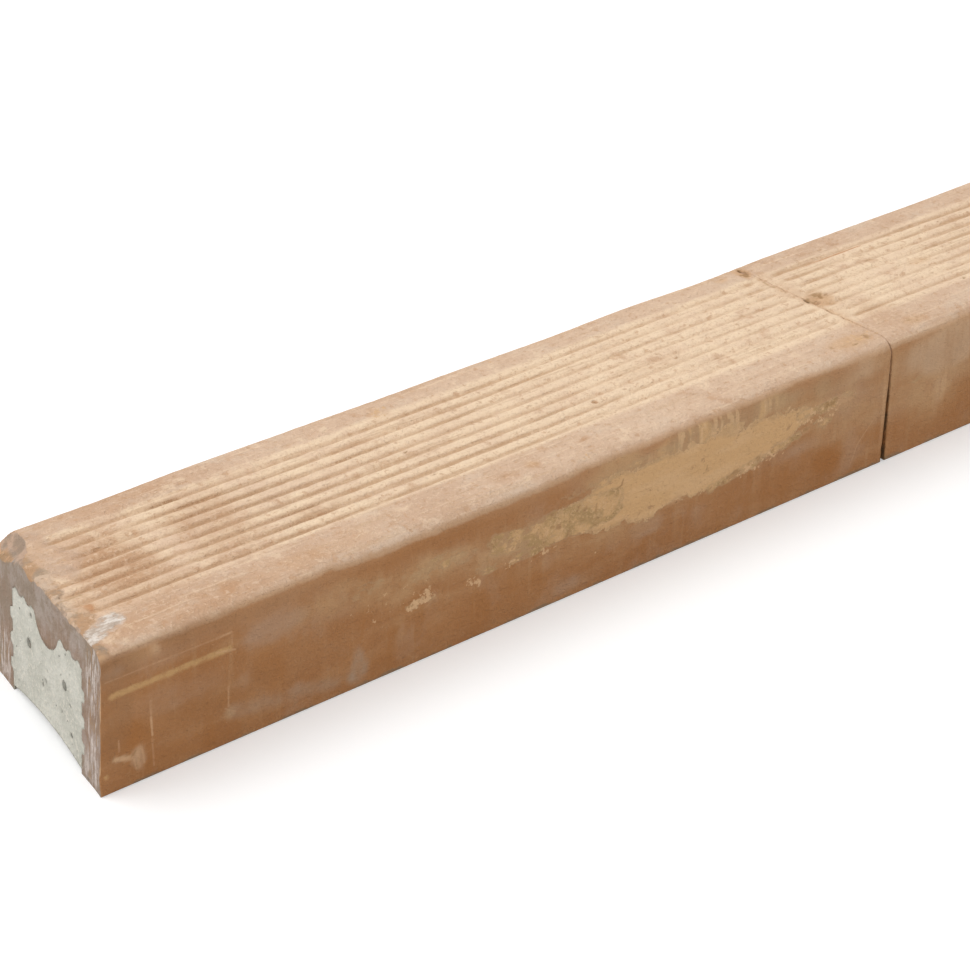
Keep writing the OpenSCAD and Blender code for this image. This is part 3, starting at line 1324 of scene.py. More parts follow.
@dataclass(frozen=True)
class Shade:
    """Linear colours of the clay and what sticks to it under even light, and of painted shade."""

    side: Colour = (0.405, 0.190, 0.076)
    side_dark: Colour = (0.370, 0.165, 0.062)
    side_light: Colour = (0.480, 0.262, 0.125)
    shoulder: Colour = (0.450, 0.235, 0.112)
    umber: Colour = (0.325, 0.165, 0.076)
    warm: Colour = (0.375, 0.158, 0.050)
    mauve: Colour = (0.440, 0.260, 0.155)
    grey: Colour = (0.420, 0.275, 0.178)
    haze: Colour = (0.530, 0.320, 0.162)
    olive: Colour = (0.470, 0.305, 0.165)
    pale: Colour = (0.580, 0.375, 0.225)
    yellow: Colour = (0.550, 0.325, 0.140)
    streak: Colour = (0.640, 0.385, 0.215)
    mortar: Colour = (0.640, 0.388, 0.186)
    mortar_pale: Colour = (0.700, 0.455, 0.250)
    crumb: Colour = (0.700, 0.445, 0.245)
    coat: Colour = (0.700, 0.490, 0.345)
    coat_rosy: Colour = (0.630, 0.420, 0.285)
    coat_grey: Colour = (0.700, 0.525, 0.390)
    coat_pale: Colour = (0.760, 0.550, 0.390)
    cream: Colour = (0.900, 0.688, 0.482)
    cream_rosy: Colour = (0.800, 0.580, 0.412)
    # Colours of the grooves, partly their own and partly painted shade
    groove: Colour = (0.620, 0.410, 0.250)
    groove_dark: Colour = (0.400, 0.225, 0.115)
    rust: Colour = (0.560, 0.325, 0.185)
    orange: Colour = (0.560, 0.265, 0.125)
    rounding: Colour = (0.510, 0.305, 0.170)
    rounding_pale: Colour = (0.670, 0.420, 0.245)
    chalk: Colour = (0.740, 0.610, 0.510)
    smear: Colour = (0.840, 0.765, 0.690)
    smudge: Colour = (0.540, 0.440, 0.360)
    moss: Colour = (0.430, 0.270, 0.118)
    chipped: Colour = (0.370, 0.275, 0.205)
    dusty: Colour = (0.570, 0.400, 0.295)
    worn: Colour = (0.370, 0.270, 0.190)
    cut: Colour = (0.315, 0.240, 0.178)
    cut_rosy: Colour = (0.318, 0.212, 0.148)
    cut_pale: Colour = (0.540, 0.455, 0.412)
    scrape: Colour = (0.720, 0.622, 0.565)
    broken: Colour = (0.420, 0.260, 0.140)
    pit: Colour = (0.370, 0.210, 0.090)
    tan: Colour = (0.680, 0.425, 0.235)
    # Painted shade of the gaps by the concrete's keys
    stain: Colour = (0.190, 0.165, 0.120)
    dirt: Colour = (0.200, 0.110, 0.048)
    # Darker colour of the side's bottom edge
    bottom_edge: Colour = (0.210, 0.170, 0.110)
    slurry: Colour = (0.550, 0.530, 0.440)


@dataclass(frozen=True)
class Hairline:
    """A line on the clay too thin for its mesh, placed in millimetres from the near lower front corner.

    Attributes:
        start: one of its ends (x, y, z).
        end: the other.
        half: half its width.
        share: how strongly it shows, from 0 to 1.
        dark: whether it is a dark crack, not a pale scrape.
    """

    start: Triple
    end: Triple
    half: float
    share: float
    dark: bool = False


# Rows of x, y and z where a line starts and again where it ends, half its width and its share
CRACKS = (
    (10, 40.2, 58.7, 20, 40, 58.7, 1.2, 1), (20, 40, 58.7, 31, 39.8, 58.7, 1, 0.7),
    (13.6, 0.4, 12.2, 15.6, 0.4, 14.2, 0.6, 0.9), (16.3, 0.4, 11, 17.4, 0.4, 9.4, 0.5, 0.7),
    (15.3, 0.4, 9, 15.8, 0.4, 6.6, 0.5, 0.6), (178.2, 0.4, 29, 177.8, 0.4, 35, 0.6, 0.7),
    (177.6, 0.4, 39, 178, 0.4, 44, 0.5, 0.5), (233, 0.4, 35.6, 233.4, 0.4, 39, 0.8, 0.8),
    (244.2, 0.4, 42.2, 246.6, 0.4, 43, 0.8, 0.9), (246.6, 0.4, 43, 247.2, 0.4, 45.4, 0.7, 0.9),
    (292.8, 0.4, 32.8, 293.4, 0.4, 35.6, 0.7, 0.8), (291.4, 0.4, 32.6, 294.4, 0.4, 32.9, 0.6, 0.7),
    (209.5, 0.4, 36.8, 214.5, 0.4, 36.2, 0.9, 0.6), (222, 0.4, 34.6, 227.5, 0.4, 33.9, 0.5, 0.6),
    (231, 0.4, 33, 236.5, 0.4, 31.8, 0.5, 0.6),
)

SCRAPES = (
    (22.9, 0.4, 18, 22.8, 0.4, 26, 0.7, 0.9), (22.8, 0.4, 26, 22.9, 0.4, 33, 0.5, 0.5),
    (22.9, 0.4, 4.5, 22.7, 0.4, 16.5, 0.55, 0.45), (8.7, 0.4, 17, 8.8, 0.4, 21.5, 0.6, 0.5),
    (56, 0.4, 16.5, 56.4, 0.4, 25, 0.6, 0.6), (59, 0.4, 13, 54.5, 0.4, 16, 0.5, 0.4),
    (5, 0.4, 48.2, 24, 0.4, 48.1, 0.5, 0.3), (25, 0.4, 48.1, 35, 0.4, 48, 0.6, 0.5),
    (35, 0.4, 48.1, 51, 0.4, 48, 0.5, 0.35), (52, 0.4, 48, 58.5, 0.4, 48.2, 0.7, 0.65),
    (58.8, 0.4, 43, 59, 0.4, 48, 0.5, 0.35), (52, 0.4, 41.8, 60, 0.4, 40.2, 0.8, 0.55),
    (7.2, 0.4, 13.7, 13.6, 0.4, 11.9, 1.2, 0.6), (14.6, 0.4, 10.8, 15.4, 0.4, 6.6, 0.8, 0.5),
    (18.2, 0.4, 14.6, 18.9, 0.4, 7.6, 0.9, 0.5), (16.4, 0.4, 13.2, 17, 0.4, 7, 1.4, 0.4),
    (195, 8.5, 59, 206, 14, 59, 0.5, 0.7), (197, 16.5, 59, 205, 12, 59, 0.5, 0.6),
    (379, 0.4, 5, 383, 0.4, 15, 0.5, 0.5), (383, 0.4, 15, 391, 0.4, 23.5, 0.45, 0.45),
)

HAIRLINES = tuple(
    Hairline(row[:3], row[3:6], *row[6:], dark)
    for rows, dark in ((CRACKS, True), (SCRAPES, False)) for row in rows
)


@dataclass(frozen=True)
class ClayNoise:
    """Noises that the clay's colours share.

    Attributes:
        broad: as wide as a hand's breadth.
        cloud: smudges.
        lump: crumbs of a few millimetres.
        grit: sand grains.
        drag: lines drawn along the lintel.
        wisps: long thin films on the sides.
        drips: fine runs down the sides.
        runs: broad runs down the sides.
        patchy: blotches of the coat.
    """

    broad: Socket
    cloud: Socket
    lump: Socket
    grit: Socket
    drag: Socket
    wisps: Socket
    drips: Socket
    runs: Socket
    patchy: Socket

    @classmethod
    def on(cls, s: NodeSheet) -> "ClayNoise":
        """Makes the noises on a material's sheet.

        Args:
            s: the sheet.

        Returns:
            The noises.
        """
        return cls(
            broad=s.noise(0.045, 3, 0.55),
            cloud=s.noise(0.011, 6, 0.62, 1.7),
            lump=s.noise(0.004, 5, 0.7, 3.9),
            grit=s.noise(0.0013, 3, 0.65, 5.2),
            drag=s.noise((0.05, 0.0020, 0.0020), 4, 0.6, 7.7),
            wisps=s.noise((0.045, 0.010, 0.010), 4, 0.58, 2.6),
            drips=s.noise((0.0040, 0.0040, 0.04), 2, 0.55, 6.1),
            runs=s.noise((0.011, 0.011, 0.05), 3, 0.6, 9.4),
            patchy=s.noise((0.022, 0.014, 0.014), 5, 0.62, 4.4),
        )


@dataclass(frozen=True)
class FiredClay:
    """Fired clay as it comes out of the press: brown sides, and a pale coat over the grooved top.

    Sizes of noise and heights are in metres, and strengths run from 0 to 1.

    Attributes:
        shade: its colours.
        coat_height: height above which it carries the pale coat.
        hairlines: the thin lines on it.
        sheet: the material's sheet.
    """

    shade: Shade = Shade()
    coat_height: float = 56.7 * MM
    hairlines: tuple[Hairline, ...] = HAIRLINES
    sheet: NodeSheet = field(default_factory=lambda: NodeSheet("channel_clay"))

    @cached_property
    def noises(self) -> ClayNoise:
        """The noises on the material's sheet, made when they are first needed."""
        return ClayNoise.on(self.sheet)

    def material(self) -> bpy.types.Material:
        """Joins up the clay's material.

        Returns:
            The material: coated skin, cut ends and broken places, with a bumped surface.
        """
        s, n, shade = self.sheet, self.noises, self.shade
        cracks, scrapes = (self.lines(dark) for dark in (True, False))
        upper = s.plus(s.axis("Z"), s.plus(s.spread(n.cloud, 0.0024), s.spread(n.lump, 0.0012)))
        upper = s.plus(upper, s.times(s.layer("hang"), 0.0018))
        over = s.between(upper, self.coat_height - 0.0006, self.coat_height + 0.0008)
        skin = s.blend(over, self.side_colour(), self.coat_colour())
        skin = self.mortared(skin)
        skin = s.tint(skin, shade.pit, s.layer("pit"), 0.2, 0.8, 0.75)
        skin = s.blend(s.ragged("dirt", n.lump, 0.25, 0.7, 0.9), skin, shade.dirt)
        skin = s.blend(scrapes, s.blend(cracks, skin, shade.pit), shade.streak)
        colour = s.blend(s.between(s.layer("cut"), 0.25, 0.6), skin, self.cut_colour())
        bare = s.tint(shade.broken, shade.rust, n.cloud, 0.42, 0.58)
        bare = s.tint(bare, shade.tan, n.lump, 0.54, 0.64, 0.7)
        bare = s.tint(bare, shade.coat_rosy, n.grit, 0.54, 0.64, 0.7)
        chipped = s.tint(shade.chipped, shade.dusty, n.cloud, 0.44, 0.58)
        bare = s.blend(s.between(s.layer("worn"), 0.1, 0.4), bare, chipped)
        colour = s.tint(colour, bare, s.layer("broken"), 0.3, 0.9, 0.9)
        s.feed(s.shader.inputs["Base Color"], colour)
        s.shader.inputs["Roughness"].default_value = 0.9
        s.shader.inputs["Specular IOR Level"].default_value = 0.25
        rough = s.bump(n.grit, 0.0008)
        rough = s.bump(n.lump, 0.0013, rough)
        s.feed(s.shader.inputs["Normal"], s.bump(n.drag, 0.0006, rough))
        return s.material

    def lines(self, dark: bool) -> Socket:
        """Strength of all the dark hairlines, or of all the pale ones.

        Args:
            dark: which of the two.

        Returns:
            The strength's socket, or 0 where there is none.
        """
        s, n = self.sheet, self.noises
        found: object = 0.0
        for hair in (hair for hair in self.hairlines if hair.dark == dark):
            seen = s.times(s.line(hair, n.lump), hair.share)
            found = s.calc("MAXIMUM", found, seen)
        return found

    def mortared(self, skin: Socket) -> Socket:
        """The skin's colour with smeared mortar and its crumbs over it.

        Args:
            skin: colour of the skin under the mortar.

        Returns:
            The colour's socket.
        """
        s, n, shade = self.sheet, self.noises, self.shade
        edge = s.plus(s.spread(n.cloud, 1.5), s.plus(s.spread(n.lump, 2.0), s.spread(n.grit, 0.5)))
        edge = s.times(edge, s.between(s.layer("mortar"), 0.02, 0.30))
        stuck = s.plus(s.layer("mortar"), edge)
        daub = s.tint(shade.mortar, shade.mortar_pale, n.wisps, 0.46, 0.62, 0.45)
        daub = s.tint(daub, shade.haze, n.grit, 0.44, 0.34, 0.35)
        skin = s.tint(skin, shade.olive, stuck, 0.28, 0.42, 0.60)
        thick = s.between(s.layer("mortar"), 0.45, 0.85, (0.50, 1.0))
        skin = s.blend(s.times(s.between(stuck, 0.38, 0.52), thick), skin, daub)
        rim = s.times(s.between(stuck, 0.42, 0.50), s.between(stuck, 0.64, 0.54))
        skin = s.blend(s.times(rim, s.between(n.grit, 0.45, 0.60, (0.0, 0.7))), skin, shade.crumb)
        holes = s.times(rim, s.between(n.lump, 0.44, 0.36))
        skin = s.blend(s.times(holes, 0.5), skin, shade.umber)
        skin = s.blend(s.times(s.layer("crumbled"), 0.55), skin, shade.tan)
        fine = s.noise((0.006, 0.0035, 0.0035), 5, 0.68, 11.3)
        skim = s.plus(s.layer("skim"), s.times(s.spread(fine, 3.0), s.between(s.layer("skim"), 0.0, 0.25)))
        thin = s.tint(shade.moss, shade.mortar, n.cloud, 0.42, 0.60)
        thin = s.tint(thin, shade.crumb, n.grit, 0.52, 0.62, 0.6)
        thin = s.tint(thin, shade.umber, n.lump, 0.44, 0.36, 0.6)
        skin = s.tint(skin, shade.olive, skim, 0.15, 0.50, 0.5)
        skin = s.tint(skin, thin, skim, 0.50, 0.78, 0.85)
        fine = s.noise(0.0028, 4, 0.62, 3.9)
        crumbs = s.between(s.plus(s.layer("crumbs"), s.spread(fine, 3.4)), 1.00, 1.28, (0.0, 0.85))
        return s.blend(crumbs, skin, shade.crumb)

    def side_colour(self) -> Socket:
        """Colour of the sides: brown clay under thin films of mortar water, darker along the bottom edge.

        Returns:
            The colour's socket.
        """
        s, n, shade = self.sheet, self.noises, self.shade
        side = s.tint(shade.side_dark, shade.side, n.broad, 0.38, 0.62)
        side = s.tint(side, shade.side_light, n.wisps, 0.48, 0.72, 0.5)
        side = s.tint(side, shade.mauve, s.noise(0.02, 4, 0.58, 8.8), 0.50, 0.70, 0.5)
        side = s.tints(
            side, (shade.side_light, n.runs, 0.52, 0.72, 0.35), (shade.warm, n.runs, 0.46, 0.32, 0.5),
            (shade.haze, n.drips, 0.54, 0.72, 0.22), (shade.haze, n.grit, 0.56, 0.70, 0.22),
            (shade.side_dark, n.grit, 0.44, 0.32, 0.30),
        )
        height = s.plus(s.axis("Z"), s.spread(n.broad, 0.012))
        side = s.tint(side, shade.shoulder, height, 0.043, 0.056, 0.7)
        for layer, noise, most in (
            ("warm", n.wisps, 1.0), ("umber", n.cloud, 1.0), ("mauve", n.wisps, 1.0), ("haze", n.cloud, 1.0),
            ("pale", n.runs, 0.9), ("olive", n.runs, 1.0), ("grey", n.cloud, 1.0),
        ):
            side = s.blend(s.film(layer, noise, most), side, getattr(shade, layer))
        ran = s.times(s.layer("drips"), s.between(n.runs, 0.46, 0.55))
        side = s.blend(s.times(ran, 0.8), side, shade.mortar)
        ran = s.times(s.layer("drips"), s.between(n.drips, 0.54, 0.60))
        side = s.blend(s.times(ran, 0.6), side, shade.mortar_pale)
        side = s.blend(s.ragged("yellow", n.lump, 0.10, 0.95, 0.90), side, shade.yellow)
        # Darker along the lowest millimetre or so of the side
        low = s.between(s.plus(s.axis("Z"), s.spread(n.cloud, 0.008)), 0.0014, 0.0002, (0.0, 0.6))
        return s.blend(low, side, shade.bottom_edge)

    def coat_colour(self) -> Socket:
        """Colour of the pale coat: cream crests, grooves darker partly by painted shade, darker long edges.

        Returns:
            The colour's socket.
        """
        s, n, shade = self.sheet, self.noises, self.shade
        coat = s.tint(shade.coat_rosy, shade.coat, n.broad, 0.38, 0.62)
        coat = s.tint(coat, shade.coat_grey, n.patchy, 0.50, 0.64, 0.8)
        coat = s.tint(coat, shade.coat_rosy, n.patchy, 0.47, 0.34, 0.7)
        coat = s.blend(s.film("pale", n.cloud, 0.7), coat, shade.coat_pale)
        ribbed = s.plus(s.calc("ABSOLUTE", s.calc("SUBTRACT", s.axis("Y"), 0.0025)), s.spread(n.cloud, 0.006))
        tops = s.tint(shade.cream_rosy, shade.cream, n.patchy, 0.42, 0.60)
        tops = s.blend(s.film("pale", n.cloud, 0.8), tops, shade.cream)
        coat = s.blend(s.between(ribbed, 0.0275, 0.0310, (1.0, 0.0)), coat, tops)
        coat = s.blend(s.film("rust", n.cloud, 1.0), coat, shade.rust)
        groove = s.layer("groove")
        faint = s.between(s.noise((0.05, 0.007, 0.1), 3, 0.6, 3.3), 0.40, 0.60, (0.35, 1.0))
        faint = s.times(faint, s.between(s.layer("filled"), 0.0, 0.8, (1.0, 0.3)))
        # The grooves are painted darker by their depth: partly the coat's own colour, partly painted shade
        sunk = s.times(s.between(groove, 0.12, 0.75), faint)
        coat = s.blend(s.times(sunk, 0.85), coat, shade.groove)
        # Some stretches of groove floor are painted darker still, speckled: partly dark specks, partly
        # painted shade
        deep = s.times(s.film("soot", n.drag, 1.5), s.between(groove, 0.2, 0.8))
        deep = s.times(deep, s.between(n.lump, 0.40, 0.54, (0.6, 1.6)))
        coat = s.blend(s.times(deep, s.between(n.grit, 0.40, 0.55, (0.4, 1.0))), coat, shade.groove_dark)
        coat = s.blend(s.times(s.film("rust", n.cloud, 0.9), sunk), coat, shade.rust)
        coat = s.tints(
            coat, (shade.groove, n.drag, 0.43, 0.32, 0.45), (shade.cream, n.drag, 0.56, 0.68, 0.45),
            (shade.rust, n.cloud, 0.42, 0.30, 0.5), (shade.cream, n.cloud, 0.57, 0.68, 0.5),
            (shade.rust, n.lump, 0.45, 0.34, 0.60), (shade.cream_rosy, n.lump, 0.55, 0.66, 0.60),
            (shade.groove, n.grit, 0.45, 0.33, 0.45), (shade.cream, n.grit, 0.57, 0.68, 0.40),
        )
        coat = s.blend(s.ragged("orange", n.cloud, 0.3, 0.8, 0.85), coat, shade.orange)
        worn = s.ragged("worn", n.lump, 0.15, 0.85, 0.95)
        dusty = s.calc("MAXIMUM", s.ragged("dusty", n.cloud, 0.10, 0.70, 0.85), worn)
        coat = s.blend(dusty, coat, self.dust_colour(worn))
        coat = s.blend(s.ragged("chalk", n.lump, 0.35, 1.10, 0.85), coat, shade.chalk)
        fine = s.noise((0.006, 0.002, 0.002), 4, 0.7, 13.1)
        smear = s.tint(shade.smudge, shade.smear, fine, 0.42, 0.60)
        coat = s.blend(s.ragged("smear", n.lump, 0.30, 0.90, 0.9), coat, smear)
        coat = s.blend(s.ragged("olive", n.cloud, 0.3, 0.8, 0.85), coat, shade.olive)
        turn = s.plus(s.axis("Z"), s.spread(n.cloud, 0.0016))
        turn = s.plus(turn, s.times(s.layer("hang"), 0.0012))
        long_edge = s.blend(s.film("pale", n.cloud, 1.0), shade.rounding, shade.rounding_pale)
        long_edge = s.blend(s.film("warm", n.wisps, 0.9), long_edge, shade.rust)
        long_edge = s.blend(s.film("rust", n.wisps, 0.9), long_edge, shade.shoulder)
        long_edge = s.blend(s.film("umber", n.cloud, 0.9), long_edge, shade.umber)
        return s.tint(coat, long_edge, turn, 0.0594, 0.0568, 0.9)

    def dust_colour(self, near: Socket) -> Socket:
        """Colour of the dust on the coat: speckled pink and grey, and browner along the near end.

        Args:
            near: strength of the worn strip along the near end.

        Returns:
            The colour's socket.
        """
        s, n, shade = self.sheet, self.noises, self.shade
        dust = s.tint(shade.dusty, shade.coat_rosy, n.cloud, 0.42, 0.58)
        dust = s.tint(dust, shade.cream_rosy, n.lump, 0.52, 0.66, 0.85)
        dust = s.tint(dust, shade.rounding, n.grit, 0.46, 0.34, 0.6)
        worn = s.tint(shade.worn, shade.rounding, n.cloud, 0.44, 0.58)
        worn = s.tints(
            worn, (shade.coat_grey, n.patchy, 0.52, 0.62, 0.8),
            (shade.cream_rosy, n.lump, 0.55, 0.66, 0.8), (shade.broken, n.grit, 0.44, 0.34, 0.6),
        )
        return s.blend(near, dust, worn)

    def cut_colour(self) -> Socket:
        """Colour of the sawn ends: grey clay with pale saw scratches, and concrete slurry by the cavity.

        Returns:
            The colour's socket.
        """
        s, n, shade = self.sheet, self.noises, self.shade
        scratch = s.noise((0.004, 0.0011, 0.010), 4, 0.68, 2.2)
        cut = s.tint(shade.cut, shade.cut_rosy, n.broad, 0.4, 0.6)
        cut = s.tints(
            cut, (shade.cut_pale, n.cloud, 0.46, 0.66, 0.4), (shade.cut_rosy, n.cloud, 0.44, 0.32, 0.5),
            (shade.cut_pale, n.patchy, 0.50, 0.62, 0.35), (shade.cut_pale, scratch, 0.52, 0.66, 0.2),
        )
        marks = s.times(s.between(scratch, 0.48, 0.60), s.layer("scraped"))
        cut = s.blend(marks, cut, shade.scrape)
        nicks = s.times(s.between(scratch, 0.44, 0.36), s.layer("scraped"))
        cut = s.blend(nicks, cut, shade.broken)
        # Painted shade: dark patches in the gaps between the concrete and the keys of the front leg, and
        # along the foot of the near end face
        cut = s.blend(s.ragged("stained", n.lump, 0.2, 0.8, 0.8), cut, shade.stain)
        cut = s.tint(cut, shade.dirt, n.grit, 0.38, 0.28, 0.5)
        rim = s.plus(s.axis("Z"), s.plus(s.spread(n.cloud, 0.010), s.spread(n.lump, 0.006)))
        edge = s.tint(shade.worn, shade.coat_rosy, n.lump, 0.52, 0.62)
        cut = s.tint(cut, edge, rim, 0.0580, 0.0605, 0.85)
        arris = s.plus(s.axis("Y"), s.spread(n.cloud, 0.006))
        cut = s.tint(cut, shade.tan, arris, -0.0482, -0.0495, 0.8)
        smeared = s.plus(s.layer("slurry"), s.spread(n.grit, 0.5))
        cut = s.tint(cut, shade.slurry, smeared, 0.93, 1.0)
        # Faces inside the joints: painted shade, darkest at the bottom of the gap and paler upwards, with the
        # coat's colour at its top edge
        joint = s.between(s.calc("ABSOLUTE", s.axis("X")), 0.45, 0.40)
        inner = s.tint(shade.dirt, shade.warm, n.cloud, 0.4, 0.6)
        inner = s.tint(inner, shade.rust, s.axis("Z"), 0.030, 0.050)
        inner = s.tint(inner, shade.coat, s.axis("Z"), 0.050, 0.058)
        return s.blend(joint, cut, inner)


@dataclass(frozen=True)
class CastConcrete:
    """Fine concrete: pale grey with a green tinge, sand grains and small pores with painted shade.

    Attributes:
        paste: linear colour of the cement paste.
        paste_dark: the same in its darker clouds.
        sand: colour of the grains.
        pore: painted shade inside the pores.
    """

    paste: Colour = (0.67, 0.65, 0.57)
    paste_dark: Colour = (0.56, 0.545, 0.47)
    sand: Colour = (0.78, 0.73, 0.63)
    pore: Colour = (0.12, 0.115, 0.09)

    def material(self) -> bpy.types.Material:
        """Makes the concrete's material.

        Returns:
            The material.
        """
        s = NodeSheet("core_concrete")
        cloud = s.noise(0.012, 4, 0.6)
        grain = s.noise(0.0016, 4, 0.65, 4.0)
        colour = s.tint(self.paste_dark, self.paste, cloud, 0.38, 0.62)
        colour = s.tint(colour, self.sand, grain, 0.52, 0.64, 0.7)
        colour = s.tint(colour, self.paste_dark, grain, 0.45, 0.34, 0.5)
        # Pores: painted shade in scattered cells, and in the dug pores of the end faces
        pores = s.between(s.cells(0.0035, 2.0), 0.10, 0.17, (1.0, 0.0))
        few = s.times(pores, s.between(s.noise(0.005, 1, 0.5, 8.0), 0.55, 0.62))
        colour = s.blend(s.times(few, 0.8), colour, self.pore)
        colour = s.tint(colour, self.pore, s.layer("pore"), 0.2, 0.9, 0.8)
        s.feed(s.shader.inputs["Base Color"], colour)
        s.shader.inputs["Roughness"].default_value = 0.92
        s.shader.inputs["Specular IOR Level"].default_value = 0.25
        rough = s.bump(grain, 0.0012)
        rough = s.bump(cloud, 0.0015, rough)
        s.feed(s.shader.inputs["Normal"], s.bump(s.calc("SUBTRACT", 1.0, few), 0.0005, rough))
        return s.material


@dataclass(frozen=True)
class DrawnSteel:
    """Cold-drawn wire, dulled grey, with a film of cement and a little rust.

    Attributes:
        steel: linear colour of the clean wire.
        dull: its colour where it is smudged.
        rust: colour of its rust.
    """

    steel: Colour = (0.20, 0.19, 0.145)
    dull: Colour = (0.13, 0.125, 0.095)
    rust: Colour = (0.20, 0.12, 0.07)

    def material(self) -> bpy.types.Material:
        """Makes the steel's material.

        Returns:
            The material.
        """
        s = NodeSheet("wire_drawn_steel")
        smudge = s.noise(0.0018, 4, 0.6)
        lines = s.noise((0.02, 0.0004, 0.0004), 2, 0.5, 3.0)
        colour = s.tint(self.steel, self.dull, smudge, 0.4, 0.6)
        colour = s.tint(colour, self.rust, s.noise(0.0011, 3, 0.6, 6.0), 0.56, 0.66, 0.7)
        s.feed(s.shader.inputs["Base Color"], colour)
        s.shader.inputs["Metallic"].default_value = 0.2
        s.feed(s.shader.inputs["Roughness"], s.between(smudge, 0.3, 0.7, (0.38, 0.65)))
        s.feed(s.shader.inputs["Normal"], s.bump(lines, 0.0001))
        return s.material


# ---------------------------------------------------------------- floor, light and camera


def seen_directly(tree: bpy.types.NodeTree) -> Socket:
    """1 for rays that see a thing straight, mirrored or through glass, and 0 for those that it only lights.

    Args:
        tree: the node tree that it is used in.

    Returns:
        The value's socket.
    """
    path = tree.nodes.new("ShaderNodeLightPath").outputs
    found = path["Is Camera Ray"]
    for kind in ("Is Glossy Ray", "Is Transmission Ray"):
        either = tree.nodes.new("ShaderNodeMath")
        either.operation = "MAXIMUM"
        tree.links.new(found, either.inputs[0])
        tree.links.new(path[kind], either.inputs[1])
        found = either.outputs[0]
    return found


@dataclass(frozen=True)
class Studio:
    """A plain pale floor under an even sky and one soft lamp.

    Attributes:
        sky: strength of the light from all round.
        lamp_power: power of the lamp, in watts.
        lamp_at: its place.
        lamp_size: side of its square.
        floor_colour: colour of the floor.
        floor_lift: how far the floor is lifted towards white where it is seen.
        reach: half the floor's side.
    """

    sky: float = 0.90
    lamp_power: float = 29.0
    lamp_at: Triple = (-1.5, 1.2, 2.6)
    lamp_size: float = 2.0
    floor_colour: float = 0.80
    floor_lift: float = 0.28
    reach: float = 30.0

    def build(self) -> None:
        """Makes the floor, the sky and the lamp."""
        self.build_floor()
        self.build_sky()
        data = bpy.data.lights.new("soft_lamp", "AREA")
        data.energy, data.size = self.lamp_power, self.lamp_size
        lamp = bpy.data.objects.new("soft_lamp", data)
        lamp.location = self.lamp_at
        lamp.rotation_euler = (-Vector(self.lamp_at)).to_track_quat("-Z", "Y").to_euler()
        bpy.context.scene.collection.objects.link(lamp)

    def build_floor(self) -> None:
        """Makes a wide flat floor at z = 0."""
        corners = [(x * self.reach, y * self.reach, 0.0) for x, y in ((-1, -1), (1, -1), (1, 1), (-1, 1))]
        mesh = bpy.data.meshes.new("floor")
        mesh.from_pydata(corners, [], [(0, 1, 2, 3)])
        floor = bpy.data.objects.new("floor", mesh)
        bpy.context.scene.collection.objects.link(floor)
        s = NodeSheet("floor_white")
        s.shader.inputs["Base Color"].default_value = (self.floor_colour,) * 3 + (1.0,)
        s.shader.inputs["Roughness"].default_value = 1.0
        s.shader.inputs["Specular IOR Level"].default_value = 0.0
        s.shader.inputs["Emission Color"].default_value = (1.0, 1.0, 1.0, 1.0)
        s.feed(s.shader.inputs["Emission Strength"], s.times(seen_directly(s.tree), self.floor_lift))
        mesh.materials.append(s.material)

    def build_sky(self) -> None:
        """Makes an even white sky: white where it is seen, and the lighting strength elsewhere."""
        world = bpy.data.worlds.new("even_sky")
        world.use_nodes = True
        bpy.context.scene.world = world
        tree = world.node_tree
        light = tree.nodes["Background"]
        light.inputs["Color"].default_value = (1.0, 1.0, 1.0, 1.0)
        light.inputs["Strength"].default_value = self.sky
        white = tree.nodes.new("ShaderNodeBackground")
        white.inputs["Color"].default_value = (1.0, 1.0, 1.0, 1.0)
        seen = seen_directly(tree)
        mix = tree.nodes.new("ShaderNodeMixShader")
        tree.links.new(seen, mix.inputs["Fac"])
        tree.links.new(light.outputs[0], mix.inputs[1])
        tree.links.new(white.outputs[0], mix.inputs[2])
        tree.links.new(mix.outputs[0], tree.nodes["World Output"].inputs["Surface"])


@dataclass(frozen=True)
class Viewpoint:
    """The camera: where it looks from and how.

    Attributes:
        place: its place.
        azimuth: turn about the vertical, in degrees, 0 facing the front side.
        elevation: height angle, in degrees.
        roll: turn about its own axis.
        lens: focal length on a 36 mm sensor.
    """

    place: Triple = (-1.00295, -0.76747, 0.60876)
    azimuth: float = -38.894
    elevation: float = 30.385
    roll: float = -0.664
    lens: float = 103.698

    def build(self) -> None:
        """Makes the camera and hands it to the scene."""
        azimuth, elevation, roll = (math.radians(a) for a in (self.azimuth, self.elevation, self.roll))
        back = Vector((
            math.sin(azimuth) * math.cos(elevation), -math.cos(azimuth) * math.cos(elevation),
            math.sin(elevation),
        ))
        right = (-back).cross(Vector((0.0, 0.0, 1.0))).normalized()
        down = (-back).cross(right)
        across = math.cos(roll) * right + math.sin(roll) * down
        up = math.sin(roll) * right - math.cos(roll) * down
        data = bpy.data.cameras.new("camera")
        data.sensor_fit, data.sensor_width, data.lens = "HORIZONTAL", 36.0, self.lens
        data.clip_start, data.clip_end = 0.05, 100.0
        camera = bpy.data.objects.new("camera", data)
        turn = Matrix((across, up, back)).transposed().to_4x4()
        camera.matrix_world = Matrix.Translation(self.place) @ turn
        bpy.context.scene.collection.objects.link(camera)
        bpy.context.scene.camera = camera


# ---------------------------------------------------------------- this lintel


def side(x: float, z: float, rx: float, rz: float, strength: float = 1.0, soft: float = 0.5) -> Patch:
    """A patch on the front side."""
    return Patch(x, 0.0, z, rx, 9.0, rz, strength, soft)


def top(x: float, y: float, rx: float, ry: float, strength: float = 1.0, soft: float = 0.5) -> Patch:
    """A patch on the upper face."""
    return Patch(x, y, 60.0, rx, ry, 8.0, strength, soft)


